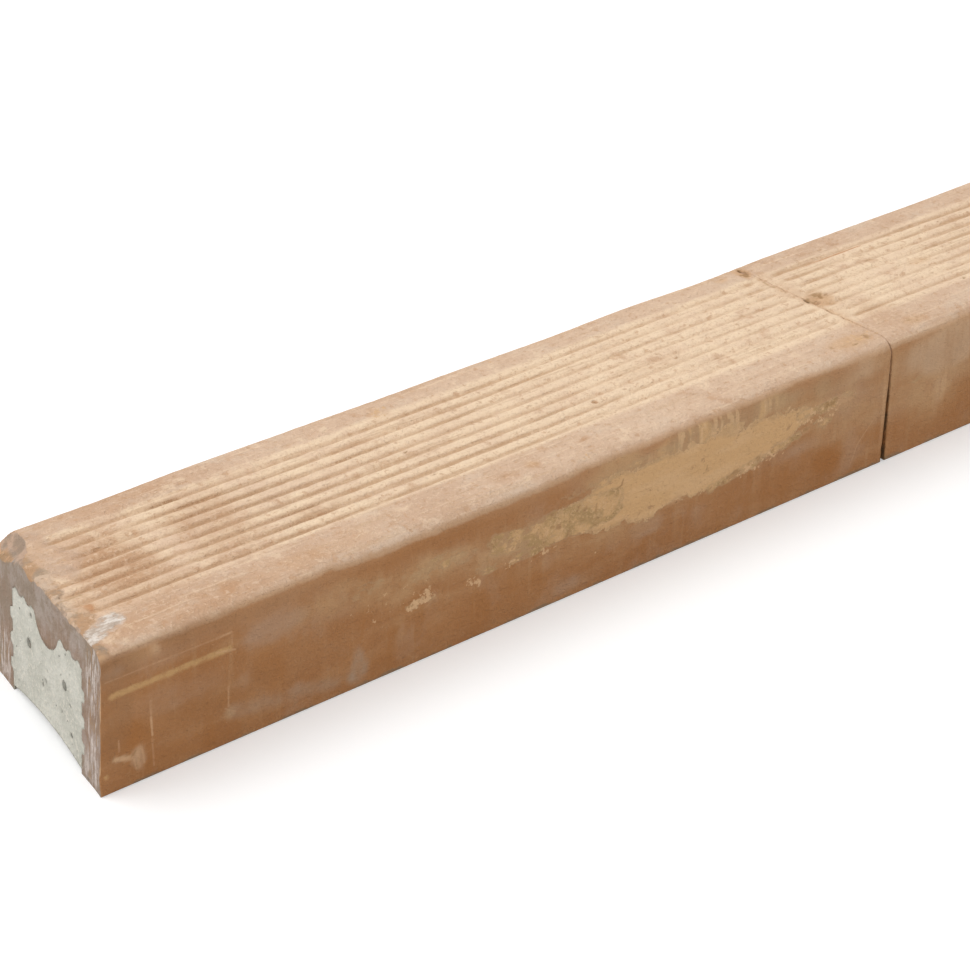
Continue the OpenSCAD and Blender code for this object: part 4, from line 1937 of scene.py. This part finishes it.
def sides(*rows: tuple[float, ...]) -> tuple[Patch, ...]:
    """Patches on the front side: x, z, half sizes along and up, strength and softness in each row."""
    return tuple(side(*row) for row in rows)


def tops(*rows: tuple[float, ...]) -> tuple[Patch, ...]:
    """Patches on the upper face: x, y, half sizes along and across, strength and softness in each row."""
    return tuple(top(*row) for row in rows)


# How far from the near end the marks are placed one by one, and where the back side lies, in millimetres
MARKED_LENGTH = 500.0
BACK_SIDE = 100.0

# Layers that are scattered, and those of them that lie on the upper face
SPREAD_LAYERS = (
    "mortar", "crumbs", "haze", "drips", "mauve", "grey", "yellow", "warm", "rust", "soot", "chalk", "filled",
    "dirt", "pale", "orange", "olive",
)

UPPER_LAYERS = ("rust", "soot", "chalk", "filled", "orange")

# Marks that are placed one by one, by layer
SEEN_MARKS = {
    "mortar": sides(
        (220, 38, 20, 9, 0.95, 0.6), (243, 36.5, 24, 15, 1.05), (264, 35.5, 28, 15.5, 1, 0.4),
        (290, 36, 32, 15.5, 1, 0.4), (316, 36.5, 26, 14.5, 1), (336, 38.5, 18, 11.5, 0.9, 0.7),
        (298, 49, 42, 5, 0.45, 0.9),
    ),
    "skim": sides(
        (178, 30, 14, 4, 0.5, 0.8), (155, 41, 28, 8, 0.55, 0.9), (196, 29, 20, 3.5, 0.6, 0.8),
        (232, 48, 24, 4, 0.5, 0.9), (120, 42, 16, 6, 0.4, 0.9), (375, 42.5, 8, 2.4, 0.62, 0.8),
        (360, 33, 10, 5, 0.5, 0.9), (262, 50, 30, 5, 0.4, 0.9), (146, 27, 12, 3.4, 0.55, 0.8),
        (417, 36, 6, 5, 0.45, 0.9),
    ) + (
        Stroke((184, 0.4, 38.8), (206, 0.4, 36), 7.6, 0.72, 0.6),
        Stroke((206, 0.4, 36), (240, 0.4, 36), 8.8, 0.9, 0.3),
        Stroke((346, 0.4, 41), (366, 0.4, 40.5), 4, 0.8, 0.8),
        Stroke((296, 0.4, 23.5), (346, 0.4, 31.5), 3.2, 0.75, 0.8),
    ),
    "crumbs": sides(
        (120.5, 28, 3, 2.4, 1.05, 0.8), (126, 24.5, 3, 2, 1.05, 0.8), (130, 29, 2.4, 2, 1.1, 0.8),
        (113, 28, 2, 1.6, 1.05, 0.8), (146, 27, 12, 4, 1.25), (150, 30.5, 4, 2, 1.2, 0.6),
        (171, 27, 6, 4, 1.15), (130, 34, 46, 9, 0.64, 0.6), (105, 30, 24, 6, 0.62, 0.6),
        (200, 27, 28, 4, 0.92, 0.6), (322, 26, 30, 5, 0.98, 0.6), (358, 38, 26, 9, 0.95, 0.6),
        (55, 12, 3, 5, 0.8, 0.9), (232, 17, 1.4, 1.4, 1.3, 0.8), (300, 54, 50, 4, 0.6, 0.9),
    ) + tops(
        (186, 84, 9, 10, 0.95, 0.8), (251, 90, 7, 4, 0.95, 0.8), (261, 75, 5, 2.5, 0.9, 0.8),
        (229, 5, 4, 3, 1.1, 0.7), (388, 11, 20, 9, 0.9, 0.7), (381, 89, 6, 5, 0.9, 0.8),
        (418, 9, 16, 7, 0.7, 0.9), (404, 48, 9, 11, 0.8, 0.9), (28, 60, 12, 30, 0.6, 0.9),
        (66, 10, 40, 9, 0.5, 0.9), (150, 88, 60, 8, 0.5, 0.9), (330, 5, 40, 4, 0.6, 0.9),
    ),
    "crumbled": sides(
        (366, 41, 20, 4, 0.7, 0.8), (213, 37, 4, 2.4, 0.6, 0.8), (247, 44, 4, 3, 0.6, 0.8),
        (276, 25, 8, 2.6, 0.6, 0.8), (25, 53, 5, 4, 0.4, 0.9),
    ) + tops(
        (403, 48.5, 9.5, 8.5, 1), (394, 90, 4.5, 8.5, 1), (384, 11.5, 16, 6.5, 0.95, 0.6),
        (421, 9, 9, 5.5, 0.75, 0.8), (381, 88.5, 4.5, 4, 0.8, 0.8), (466, 49, 9, 5, 0.7, 0.8),
        (186, 84, 7, 8, 0.5, 0.9), (16, 30, 9, 6, 0.45, 0.8), (22, 72, 10, 22, 0.35, 0.9),
        (210, 13.5, 4, 4.5, 0.7, 0.9), (105, 10, 34, 7, 0.3, 0.9),
    ) + (
        Stroke((396.2, 62, 60), (395.6, 80, 60), 1.6, 0.6, 0.8),
        Stroke((398.4, 20, 60), (397.6, 40, 60), 2, 0.7, 0.8),
        Stroke((300, 0.4, 25), (352, 0.4, 33), 2.4, 0.8, 0.8), Patch(5, 1, 58.5, 4, 4, 3, 1, 0.6),
        Patch(397, 0, 30, 1.5, 6, 30, 0.6, 0.9), Stroke((232, 0.4, 30), (250, 0.4, 27), 1.6, 0.6, 0.8),
    ),
    "haze": sides(
        (105, 41, 30, 8, 0.45, 1), (140, 39, 40, 11, 0.7, 0.7), (190, 36, 45, 12, 0.75, 0.8),
        (280, 38, 80, 20, 0.85, 0.6), (345, 42, 40, 17, 0.75, 0.8), (240, 23, 46, 4, 0.6, 0.9),
        (244, 52, 22, 8, 0.85), (57, 43, 10, 5, 0.35, 0.9), (475, 42, 40, 14, 0.5, 0.9),
        (160, 40, 3, 8, 0.7, 0.9), (55, 14, 4, 4, 0.8, 0.9), (151, 24, 60, 4, 0.25, 0.9),
        (385, 38, 60, 24, 0.55, 0.6), (430, 34, 34, 30, 0.7, 0.7), (150, 41, 34, 7, 0.8, 0.6),
        (108, 44, 26, 9, 0.55, 0.8), (240, 22, 70, 10, 0.35, 0.8), (18, 53, 10, 5, 0.35, 0.9),
    ) + (
        Stroke((7.5, 0.4, 13.8), (14, 0.4, 12), 1.4, 0.9),
    ),
    "drips": sides((298, 51.5, 44, 8, 1), (262, 50, 16, 6, 0.4, 0.9), (432, 28, 10, 14, 0.5, 0.9)),
    "mauve": sides(
        (80, 43, 20, 8, 0.95), (36, 31.5, 28, 8, 0.45, 0.7), (263, 19, 12, 6, 0.85, 0.6),
        (375, 42, 24, 18, 0.75, 0.8), (35, 50, 30, 6, 0.3, 1), (218, 6, 9, 6, 0.7, 0.7),
        (291, 12, 8, 9, 0.5, 0.8), (341, 25, 27, 6, 0.8, 0.8), (432, 34, 30, 18, 0.4, 0.9),
        (105, 38, 20, 8, 0.35, 0.9), (17, 10.5, 3.5, 5, 0.6, 0.9), (400, 30, 60, 14, 0.4, 0.7),
    ),
    "grey": sides(
        (114.5, 10.5, 7.2, 11, 1), (8, 50, 5, 4, 0.4, 0.9), (222, 6, 20, 6, 0.25, 1),
        (432, 44, 42, 11, 0.35, 0.8),
    ) + (
        Stroke((56, 0.4, 15), (104, 0.4, 7), 5, 0.5, 0.9),
    ),
    "yellow": sides((2.4, 8, 2, 1.8, 0.8, 0.8)) + (Stroke((7, 0.4, 41.4), (58, 0.4, 41.4), 2, 1, 0.8),),
    "warm": sides(
        (10, 21, 20, 10, 1, 0.6), (50, 20, 46, 6, 0.6, 0.8), (40, 7, 34, 7, 0.6, 0.8),
        (76, 25, 14, 12, 0.9, 0.6), (155, 51, 70, 5.5, 0.6, 0.7), (190, 13, 70, 11, 0.5, 0.9),
        (335, 12, 40, 11, 0.7, 0.9), (366, 13, 15, 10, 1, 0.6), (440, 15, 44, 14, 0.5, 0.7),
        (157, 50, 4, 6, 0.8, 0.8), (208, 51, 16, 6, 0.4, 0.8), (130, 9, 20, 8, 0.6, 0.9),
    ) + (
        Patch(268, 0, 60, 56, 10, 5, 0.9, 0.6), Patch(350, 0, 60, 50, 10, 5, 0.7, 0.7),
    ),
    # umber darkens the side towards the near end and beside the joint: partly the clay's own tone, partly
    # painted shade where less light falls
    "umber": sides(
        (8, 52, 16, 9, 1, 0.6), (6, 32, 12, 30, 0.6, 0.7), (36, 53, 22, 6, 0.35, 0.9),
        (60, 22, 60, 14, 0.3, 0.8), (396, 30, 3, 34, 0.35, 0.9),
    ) + (
        Patch(30, 1, 57.5, 44, 7, 4.5, 0.8, 0.7), Patch(60, 0, 54, 60, 4, 6, 0.4, 0.8),
        Patch(10, 0, 60, 13, 6, 8, 0.9, 0.5),
    ),
    "rust": tops(
        (38, 50, 24, 26, 1, 0.6), (44, 38, 20, 9, 0.9, 0.8), (85, 50, 26, 42, 0.55, 0.7),
        (18, 31, 5, 6, 1, 0.8), (122, 36, 16, 6, 0.6, 0.9), (164, 69, 12, 3, 0.6, 0.9),
        (65, 10, 8, 7, 1.1, 0.7), (209, 13, 4.5, 4.5, 0.9, 0.7), (195, 11, 8, 5, 0.8, 0.9),
        (238, 16, 5, 2, 1, 0.8), (50, 11, 60, 12, 0.7, 0.6), (65, 88, 46, 12, 0.55, 0.8),
        (90, 10, 26, 12, 0.55, 0.7), (394.5, 87, 5, 9, 1.1, 0.7), (404, 48, 11, 13, 0.7, 0.7),
        (420, 10, 11, 8, 0.6, 1), (12, 90, 9, 12, 0.9, 0.9), (398, 50, 5, 60, 0.5, 0.9),
        (300, 46, 30, 12, 0.3, 1), (385, 11, 19, 9, 0.4, 0.8), (42, 74, 22, 9, 0.55, 0.8),
        (36, 27, 26, 8, 0.65, 0.8), (30, 87, 20, 8, 0.5, 0.8), (22, 38, 10, 8, 0.5, 0.8),
        (67, 12, 8, 8, 1.1, 0.7), (412, 22, 14, 24, 0.45, 0.8), (82, 27, 12, 5, 0.4, 0.9),
        (120, 13, 12, 8, 0.4, 0.9), (104, 12, 8, 6, 0.5, 0.9), (44, 27, 34, 14, 0.5, 0.8),
        (52, 67, 14, 7, 0.8, 0.8), (26, 40, 16, 18, 0.4, 0.9), (60, 14, 24, 8, 0.4, 0.9),
    ),
    # Stretches of groove floor painted darker: partly dark specks, partly painted shade
    "soot": tops(
        (79, 77, 10, 3, 0.9, 0.7), (88, 69.5, 18, 3, 0.9, 0.7), (86, 62, 18, 3, 0.85, 0.7),
        (116, 40, 19, 3, 0.85, 0.7), (118, 33, 20, 3, 0.85, 0.7), (160, 62, 24, 3, 0.6, 0.8),
        (206, 62, 26, 3, 0.5, 0.8), (241, 40, 18, 3, 0.5, 0.8), (242, 33, 36, 3, 0.4, 0.8),
        (105, 50, 60, 40, 0.3, 0.8), (40, 50, 24, 40, 0.45, 0.8), (220, 50, 90, 40, 0.1, 0.8),
    ),
    "chalk": tops((22, 70, 12, 23, 0.45, 0.7), (65, 54, 8, 13, 0.35, 0.8), (20, 22, 7, 6, 0.6, 0.9)),
    "smear": tops(
        (33, 17, 4, 3, 0.5, 1),
    ) + (
        Stroke((6.5, 11, 59.6), (13, 13, 59.6), 4.6, 0.95, 1),
        Stroke((9, 14, 59.6), (22, 19, 59.6), 7, 1, 0.9),
        Stroke((16, 21, 59.6), (23, 22, 59.6), 3.6, 0.75, 1),
    ),
    "dusty": tops((22, 71, 14, 27, 1, 0.6), (16, 18, 10, 9, 0.9, 0.8), (12, 35, 8, 20, 0.6, 0.9)),
    "worn": tops(
        (12, 26, 7, 7, 0.7, 0.9), (17, 88, 6, 10, 0.9, 0.8),
    ) + (
        Stroke((5, 4, 59.8), (17, 98, 59.8), 6.5, 1, 0.75),
    ),
    "filled": tops(
        (18, 71, 16, 26, 0.85, 0.6), (8, 40, 10, 24, 0.75, 0.7), (66, 45, 9, 22, 0.35, 0.8),
        (398, 50, 8, 60, 0.8, 0.7), (330, 50, 140, 60, 0.42, 0.8), (300, 24, 120, 8, 0.5, 1),
        (450, 50, 60, 60, 0.4, 0.8), (215, 58, 100, 26, 0.22, 0.9),
    ),
    "dirt": sides(
        (237, 32, 1.4, 0.9, 0.7, 0.9), (277, 24, 2, 1, 0.7, 0.9),
    ) + tops(
        (397.5, 51, 1.5, 6, 0.6, 0.9), (418, 9.5, 2.2, 1.2, 0.5, 0.9), (426, 6.5, 1.6, 1.4, 0.5, 0.9),
        (12.5, 43, 1.2, 1.6, 0.7, 0.9),
    ) + (
        Patch(4.6, 0.8, 58.5, 2.2, 3, 1.4, 0.7, 0.9),
    ),
    # pale lightens some side patches, and its big patches on the upper face make the coat paler away from the
    # near end: partly its own tone, partly painted light where more light falls
    "pale": sides(
        (437, 46, 36, 14, 0.95, 0.4), (433, 26, 7, 16, 0.7, 0.9), (383, 51, 16, 8, 0.75, 0.7),
        (25, 53, 3.4, 3.2, 0.8, 0.8), (310, 52, 62, 7, 0.3, 0.8), (434, 38.5, 17, 2, 0.9, 0.7),
    ) + tops(
        (215, 60, 110, 24, 0.9, 0.6), (330, 50, 238, 75, 1, 0.55), (180, 60, 60, 40, 0.45, 0.9),
        (800, 50, 420, 80, 0.9, 0.3),
    ) + (
        Stroke((7.5, 0.4, 13.4), (13.5, 0.4, 12), 1.6, 0.8, 0.8),
        Stroke((16.4, 0.4, 14), (17.4, 0.4, 7.4), 2.6, 0.9, 0.8),
    ),
    "hang": (
        Patch(165, 0, 58, 78, 12, 12, 1.15, 0.4), Patch(280, 0, 58, 80, 12, 12, 0.55, 0.4),
        Patch(50, 0, 58, 70, 12, 12, 0.5, 0.4), Patch(400, 0, 58, 60, 12, 12, 0.7, 0.6),
    ),
    "orange": tops(
        (220, 75, 25, 1.7, 0.5, 0.8), (17.5, 31, 4, 5, 0.7, 0.8), (438, 77, 38, 1.6, 0.9, 0.8),
    ) + (
        Patch(295, 2.5, 59, 60, 3, 3, 0.5, 0.8), Stroke((4.5, 0.4, 41.4), (11, 0.4, 41.4), 1.6, 0.7),
    ),
    "olive": sides(
        (305, 51.5, 52, 6.5, 0.95), (216, 35, 12, 6, 0.4, 0.9), (360, 50, 14, 8, 0.5, 0.9),
        (200, 33, 16, 5, 0.5, 0.9),
    ) + tops(
        (15, 88, 6, 12, 0.5, 0.9),
    ),
    "scraped": (
        Patch(5, 8, 46, 12, 8, 18, 1, 0.4), Patch(3, 8, 24, 12, 6, 14, 0.9, 0.5),
        Patch(2, 9, 8, 12, 9, 10, 0.85, 0.5), Patch(12, 90, 10, 12, 12, 16, 0.9, 0.5),
    ),
    # Painted shade on the near end face: the gaps by the concrete's keys and the foot of the face
    "stained": (
        Patch(4, 16.6, 28.2, 8, 1.6, 3.4, 0.9, 0.8), Patch(3, 17.2, 17, 8, 1.3, 2.4, 0.8, 0.8),
        Patch(2, 12, 1.2, 8, 6, 1.2, 0.7, 0.9), Patch(7, 30, 44, 8, 5, 1.6, 0.5, 0.9),
    ),
}


def scattered(seed: int, count: int, along: tuple[float, float]) -> dict[str, tuple[Patch, ...]]:
    """Draws patches over the parts that have no marks of their own.

    Args:
        seed: number that they are drawn from.
        count: patches for each layer.
        along: where they begin and end along the lintel, in millimetres.

    Returns:
        Patches by layer name, on the front and back sides and the upper face.
    """
    draw = np.random.default_rng(seed)
    drawn = {}
    for layer in SPREAD_LAYERS:
        upper = layer in UPPER_LAYERS
        patches = []
        for x, across, wide, high, strong in draw.uniform(0.0, 1.0, (count, 5)):
            x = along[0] + x * (along[1] - along[0])
            strong = 0.4 + 0.6 * strong
            if upper:
                patches.append(top(x, 8 + 84 * across, 10 + 30 * wide, 2 + 10 * high, strong, 0.9))
            else:
                y = BACK_SIDE if wide > 0.5 else 0.0
                patches.append(Patch(x, y, 6 + 44 * across, 12 + 50 * wide, 9.0, 3 + 9 * high, strong, 0.9))
        drawn[layer] = tuple(patches)
    for layer, size, few in (("dirt", 1.2, 5), ("yellow", 1.5, 3), ("orange", 1.7, 3)):
        drawn[layer] = tuple(
            Patch(p.x, p.y, p.z, 0.3 * p.rx, min(p.ry, 6.0), size, p.strength, 0.9)
            for p in drawn[layer][:few]
        )
    return drawn


def lintel_marks() -> Marks:
    """The marks of the whole lintel: those that are placed one by one, and scattered ones past them.

    Returns:
        The marks, by layer.
    """
    past = scattered(17, 16, (MARKED_LENGTH, 1190.0))
    behind = scattered(29, 12, (0.0, MARKED_LENGTH))
    behind = {
        name: tuple(patch for patch in patches if patch.y == BACK_SIDE) for name, patches in behind.items()
    }
    return Marks({
        name: seen + past.get(name, ()) + behind.get(name, ()) for name, seen in SEEN_MARKS.items()
    })


UP = (0.0, 0.0, 1.0)

# Chips of the near and the middle channel: along the ends, at the joint and in the plaster ribs
NEAR_CHIPS = (
    Chip(16, 95.5, 60, (-0.7, 0.12, 0.68), 7.6, 26), Chip(4.2, 2, 59, (-0.6, -0.4, 0.7), 1.8, 5),
    Chip(5.6, 13, 59.6, (-0.6, 0, 0.8), 0.9, 3.2), Chip(6.8, 21, 59.6, (-0.7, 0.1, 0.7), 1.2, 4),
    Chip(7.9, 29.5, 59.6, (-0.5, 0, 0.9), 0.8, 2.6), Chip(8.6, 35, 59.6, (-0.7, -0.1, 0.7), 1.3, 3.6),
    Chip(9.7, 43.5, 59.6, (-0.6, 0, 0.8), 0.9, 4.4), Chip(10.6, 51, 59.6, (-0.8, 0.1, 0.6), 1.1, 3),
    Chip(11.3, 56.5, 59.6, (-0.5, 0, 0.9), 0.8, 2.4), Chip(12.2, 63.5, 59.6, (-0.7, 0, 0.7), 1.4, 4.2),
    Chip(13.2, 71.5, 59.6, (-0.6, 0.1, 0.8), 1.1, 4.6), Chip(14.4, 79, 59.6, (-0.6, 0, 0.8), 1.5, 6),
    Chip(177, 52, 60, UP, 1.6, 1.3, 1.1), Chip(233.5, 67.5, 60, UP, 1.5, 1.3, 1.1),
    Chip(175, 31, 60, UP, 1.4, 1.2), Chip(263.5, 37.5, 60, UP, 1.5, 1.2, 1.2),
    Chip(316, 46, 60, UP, 1.5, 1.2, 1.3), Chip(210, 11.5, 60, UP, 0.7, 1.3, 1.3),
    Chip(394.5, 91, 60.5, (0.6, 0, 0.8), 1.8, 5), Chip(398, 50, 60.5, (0.7, 0, 0.7), 1.3, 3.5),
)

MIDDLE_CHIPS = (
    Chip(396.5, 90, 60.5, (-0.6, 0, 0.8), 1.8, 4), Chip(401, 47, 60.4, (-0.3, 0, 0.9), 1.7, 2, 2.4),
    Chip(403, 53.5, 60.3, (-0.1, 0, 0.9), 1.5, 1.4, 2.6), Chip(409.5, 50.5, 60.2, (0.1, 0.1, 1), 1.7, 2, 2),
    Chip(405.5, 56.5, 60.2, UP, 1.4, 1.4, 1.8), Chip(405, 43.5, 60.2, UP, 1.5, 1.3, 2.2),
    Chip(464, 49, 60.2, UP, 1.5, 2.4, 1.7), Chip(470, 25, 60.2, UP, 1.7, 1.8),
    Chip(416, 10, 60.2, UP, 1.1, 1.7, 1.8), Chip(425, 6.5, 60.2, UP, 0.9, 1.2, 1.5),
)

# The lintel's ends and its joints: places and lengths in millimetres, turns and leans in degrees. A joint
# opens by twice HALF_GAP at the bottom and by GAPE less than that at the top.
NEAR_END = EndFace(-600 * MM, turn=7.4, lean=4.0, worn=1.6)
FAR_END = EndFace(600 * MM)
FIRST_JOINT = -200
CHANNEL_LENGTH = 400
HALF_GAP = 1.4
GAPE = 2.4
LINTEL_HEIGHT = 60.0
JOINT_TURN = -2.6
JOINT_LEAN = 0.9

# Pores of the concrete's near face: y, z, radius and depth, in millimetres
PORES = (
    (0.5, 20.7, 1.3, 1.2), (2.9, 18.0, 1.2, 1.0), (-1.1, 25.7, 1.1, 0.7), (14.3, 41.0, 1.6, 0.9),
    (-22.3, 10.3, 1.7, 0.7), (-21.5, 22.8, 1.2, 0.7), (3.9, 17.0, 0.9, 0.7), (-14.0, 16.0, 1.0, 0.5),
)

# Places (y, z) of the front and the back wire
WIRE_PLACES = ((-17.35 * MM, 29 * MM), (14.85 * MM, 29 * MM))
HOLE_RADIUS = 2.05 * MM


def joint_faces(number: int) -> tuple[EndFace, EndFace]:
    """The two faces of a joint, which gapes towards the bottom.

    Args:
        number: number of the joint, 0 for the near one.

    Returns:
        The end of the channel before the joint and the start of the one after it.
    """
    far_lean = math.degrees(math.atan(math.tan(math.radians(JOINT_LEAN)) - GAPE / LINTEL_HEIGHT))
    return tuple(
        EndFace((FIRST_JOINT + half + CHANNEL_LENGTH * number) * MM, JOINT_TURN, lean, closed=1.0)
        for half, lean in ((-HALF_GAP, JOINT_LEAN), (HALF_GAP, far_lean))
    )


def build_lintel() -> list[bpy.types.Object]:
    """Builds the three channels, the concrete and the wires, and dresses them.

    Returns:
        The new pieces.
    """
    first, second = joint_faces(0), joint_faces(1)
    marks = lintel_marks()
    clay, concrete, steel = FiredClay().material(), CastConcrete().material(), DrawnSteel().material()
    channels = (
        ClayChannel("clay_channel_near", NEAR_END, first[0], marks, NEAR_CHIPS, 3),
        ClayChannel("clay_channel_middle", first[1], second[0], marks, MIDDLE_CHIPS, 11, 1.8 * MM),
        ClayChannel("clay_channel_far", second[1], FAR_END, marks, (), 23, 1.8 * MM),
    )
    core = ConcreteCore("concrete_core", NEAR_END, FAR_END, WIRE_PLACES, HOLE_RADIUS, PORES)
    wires = tuple(
        PrestressingWire(f"prestressing_wire_{word}", NEAR_END, FAR_END, *place)
        for word, place in zip(("front", "back"), WIRE_PLACES)
    )
    pieces = []
    finishes = (clay, clay, clay, concrete, steel, steel)
    for part, finish in zip((*channels, core, *wires), finishes):
        piece = part.build()
        piece.data.materials.append(finish)
        pieces.append(piece)
    return pieces


def main() -> None:
    """Builds the lintel and its studio."""
    logging.basicConfig(level=logging.INFO, format="%(name)s: %(message)s")
    scene = bpy.context.scene
    scene.view_settings.view_transform = "Standard"
    Viewpoint().build()
    Studio().build()
    build_lintel()


if __name__ == "__main__":
    main()
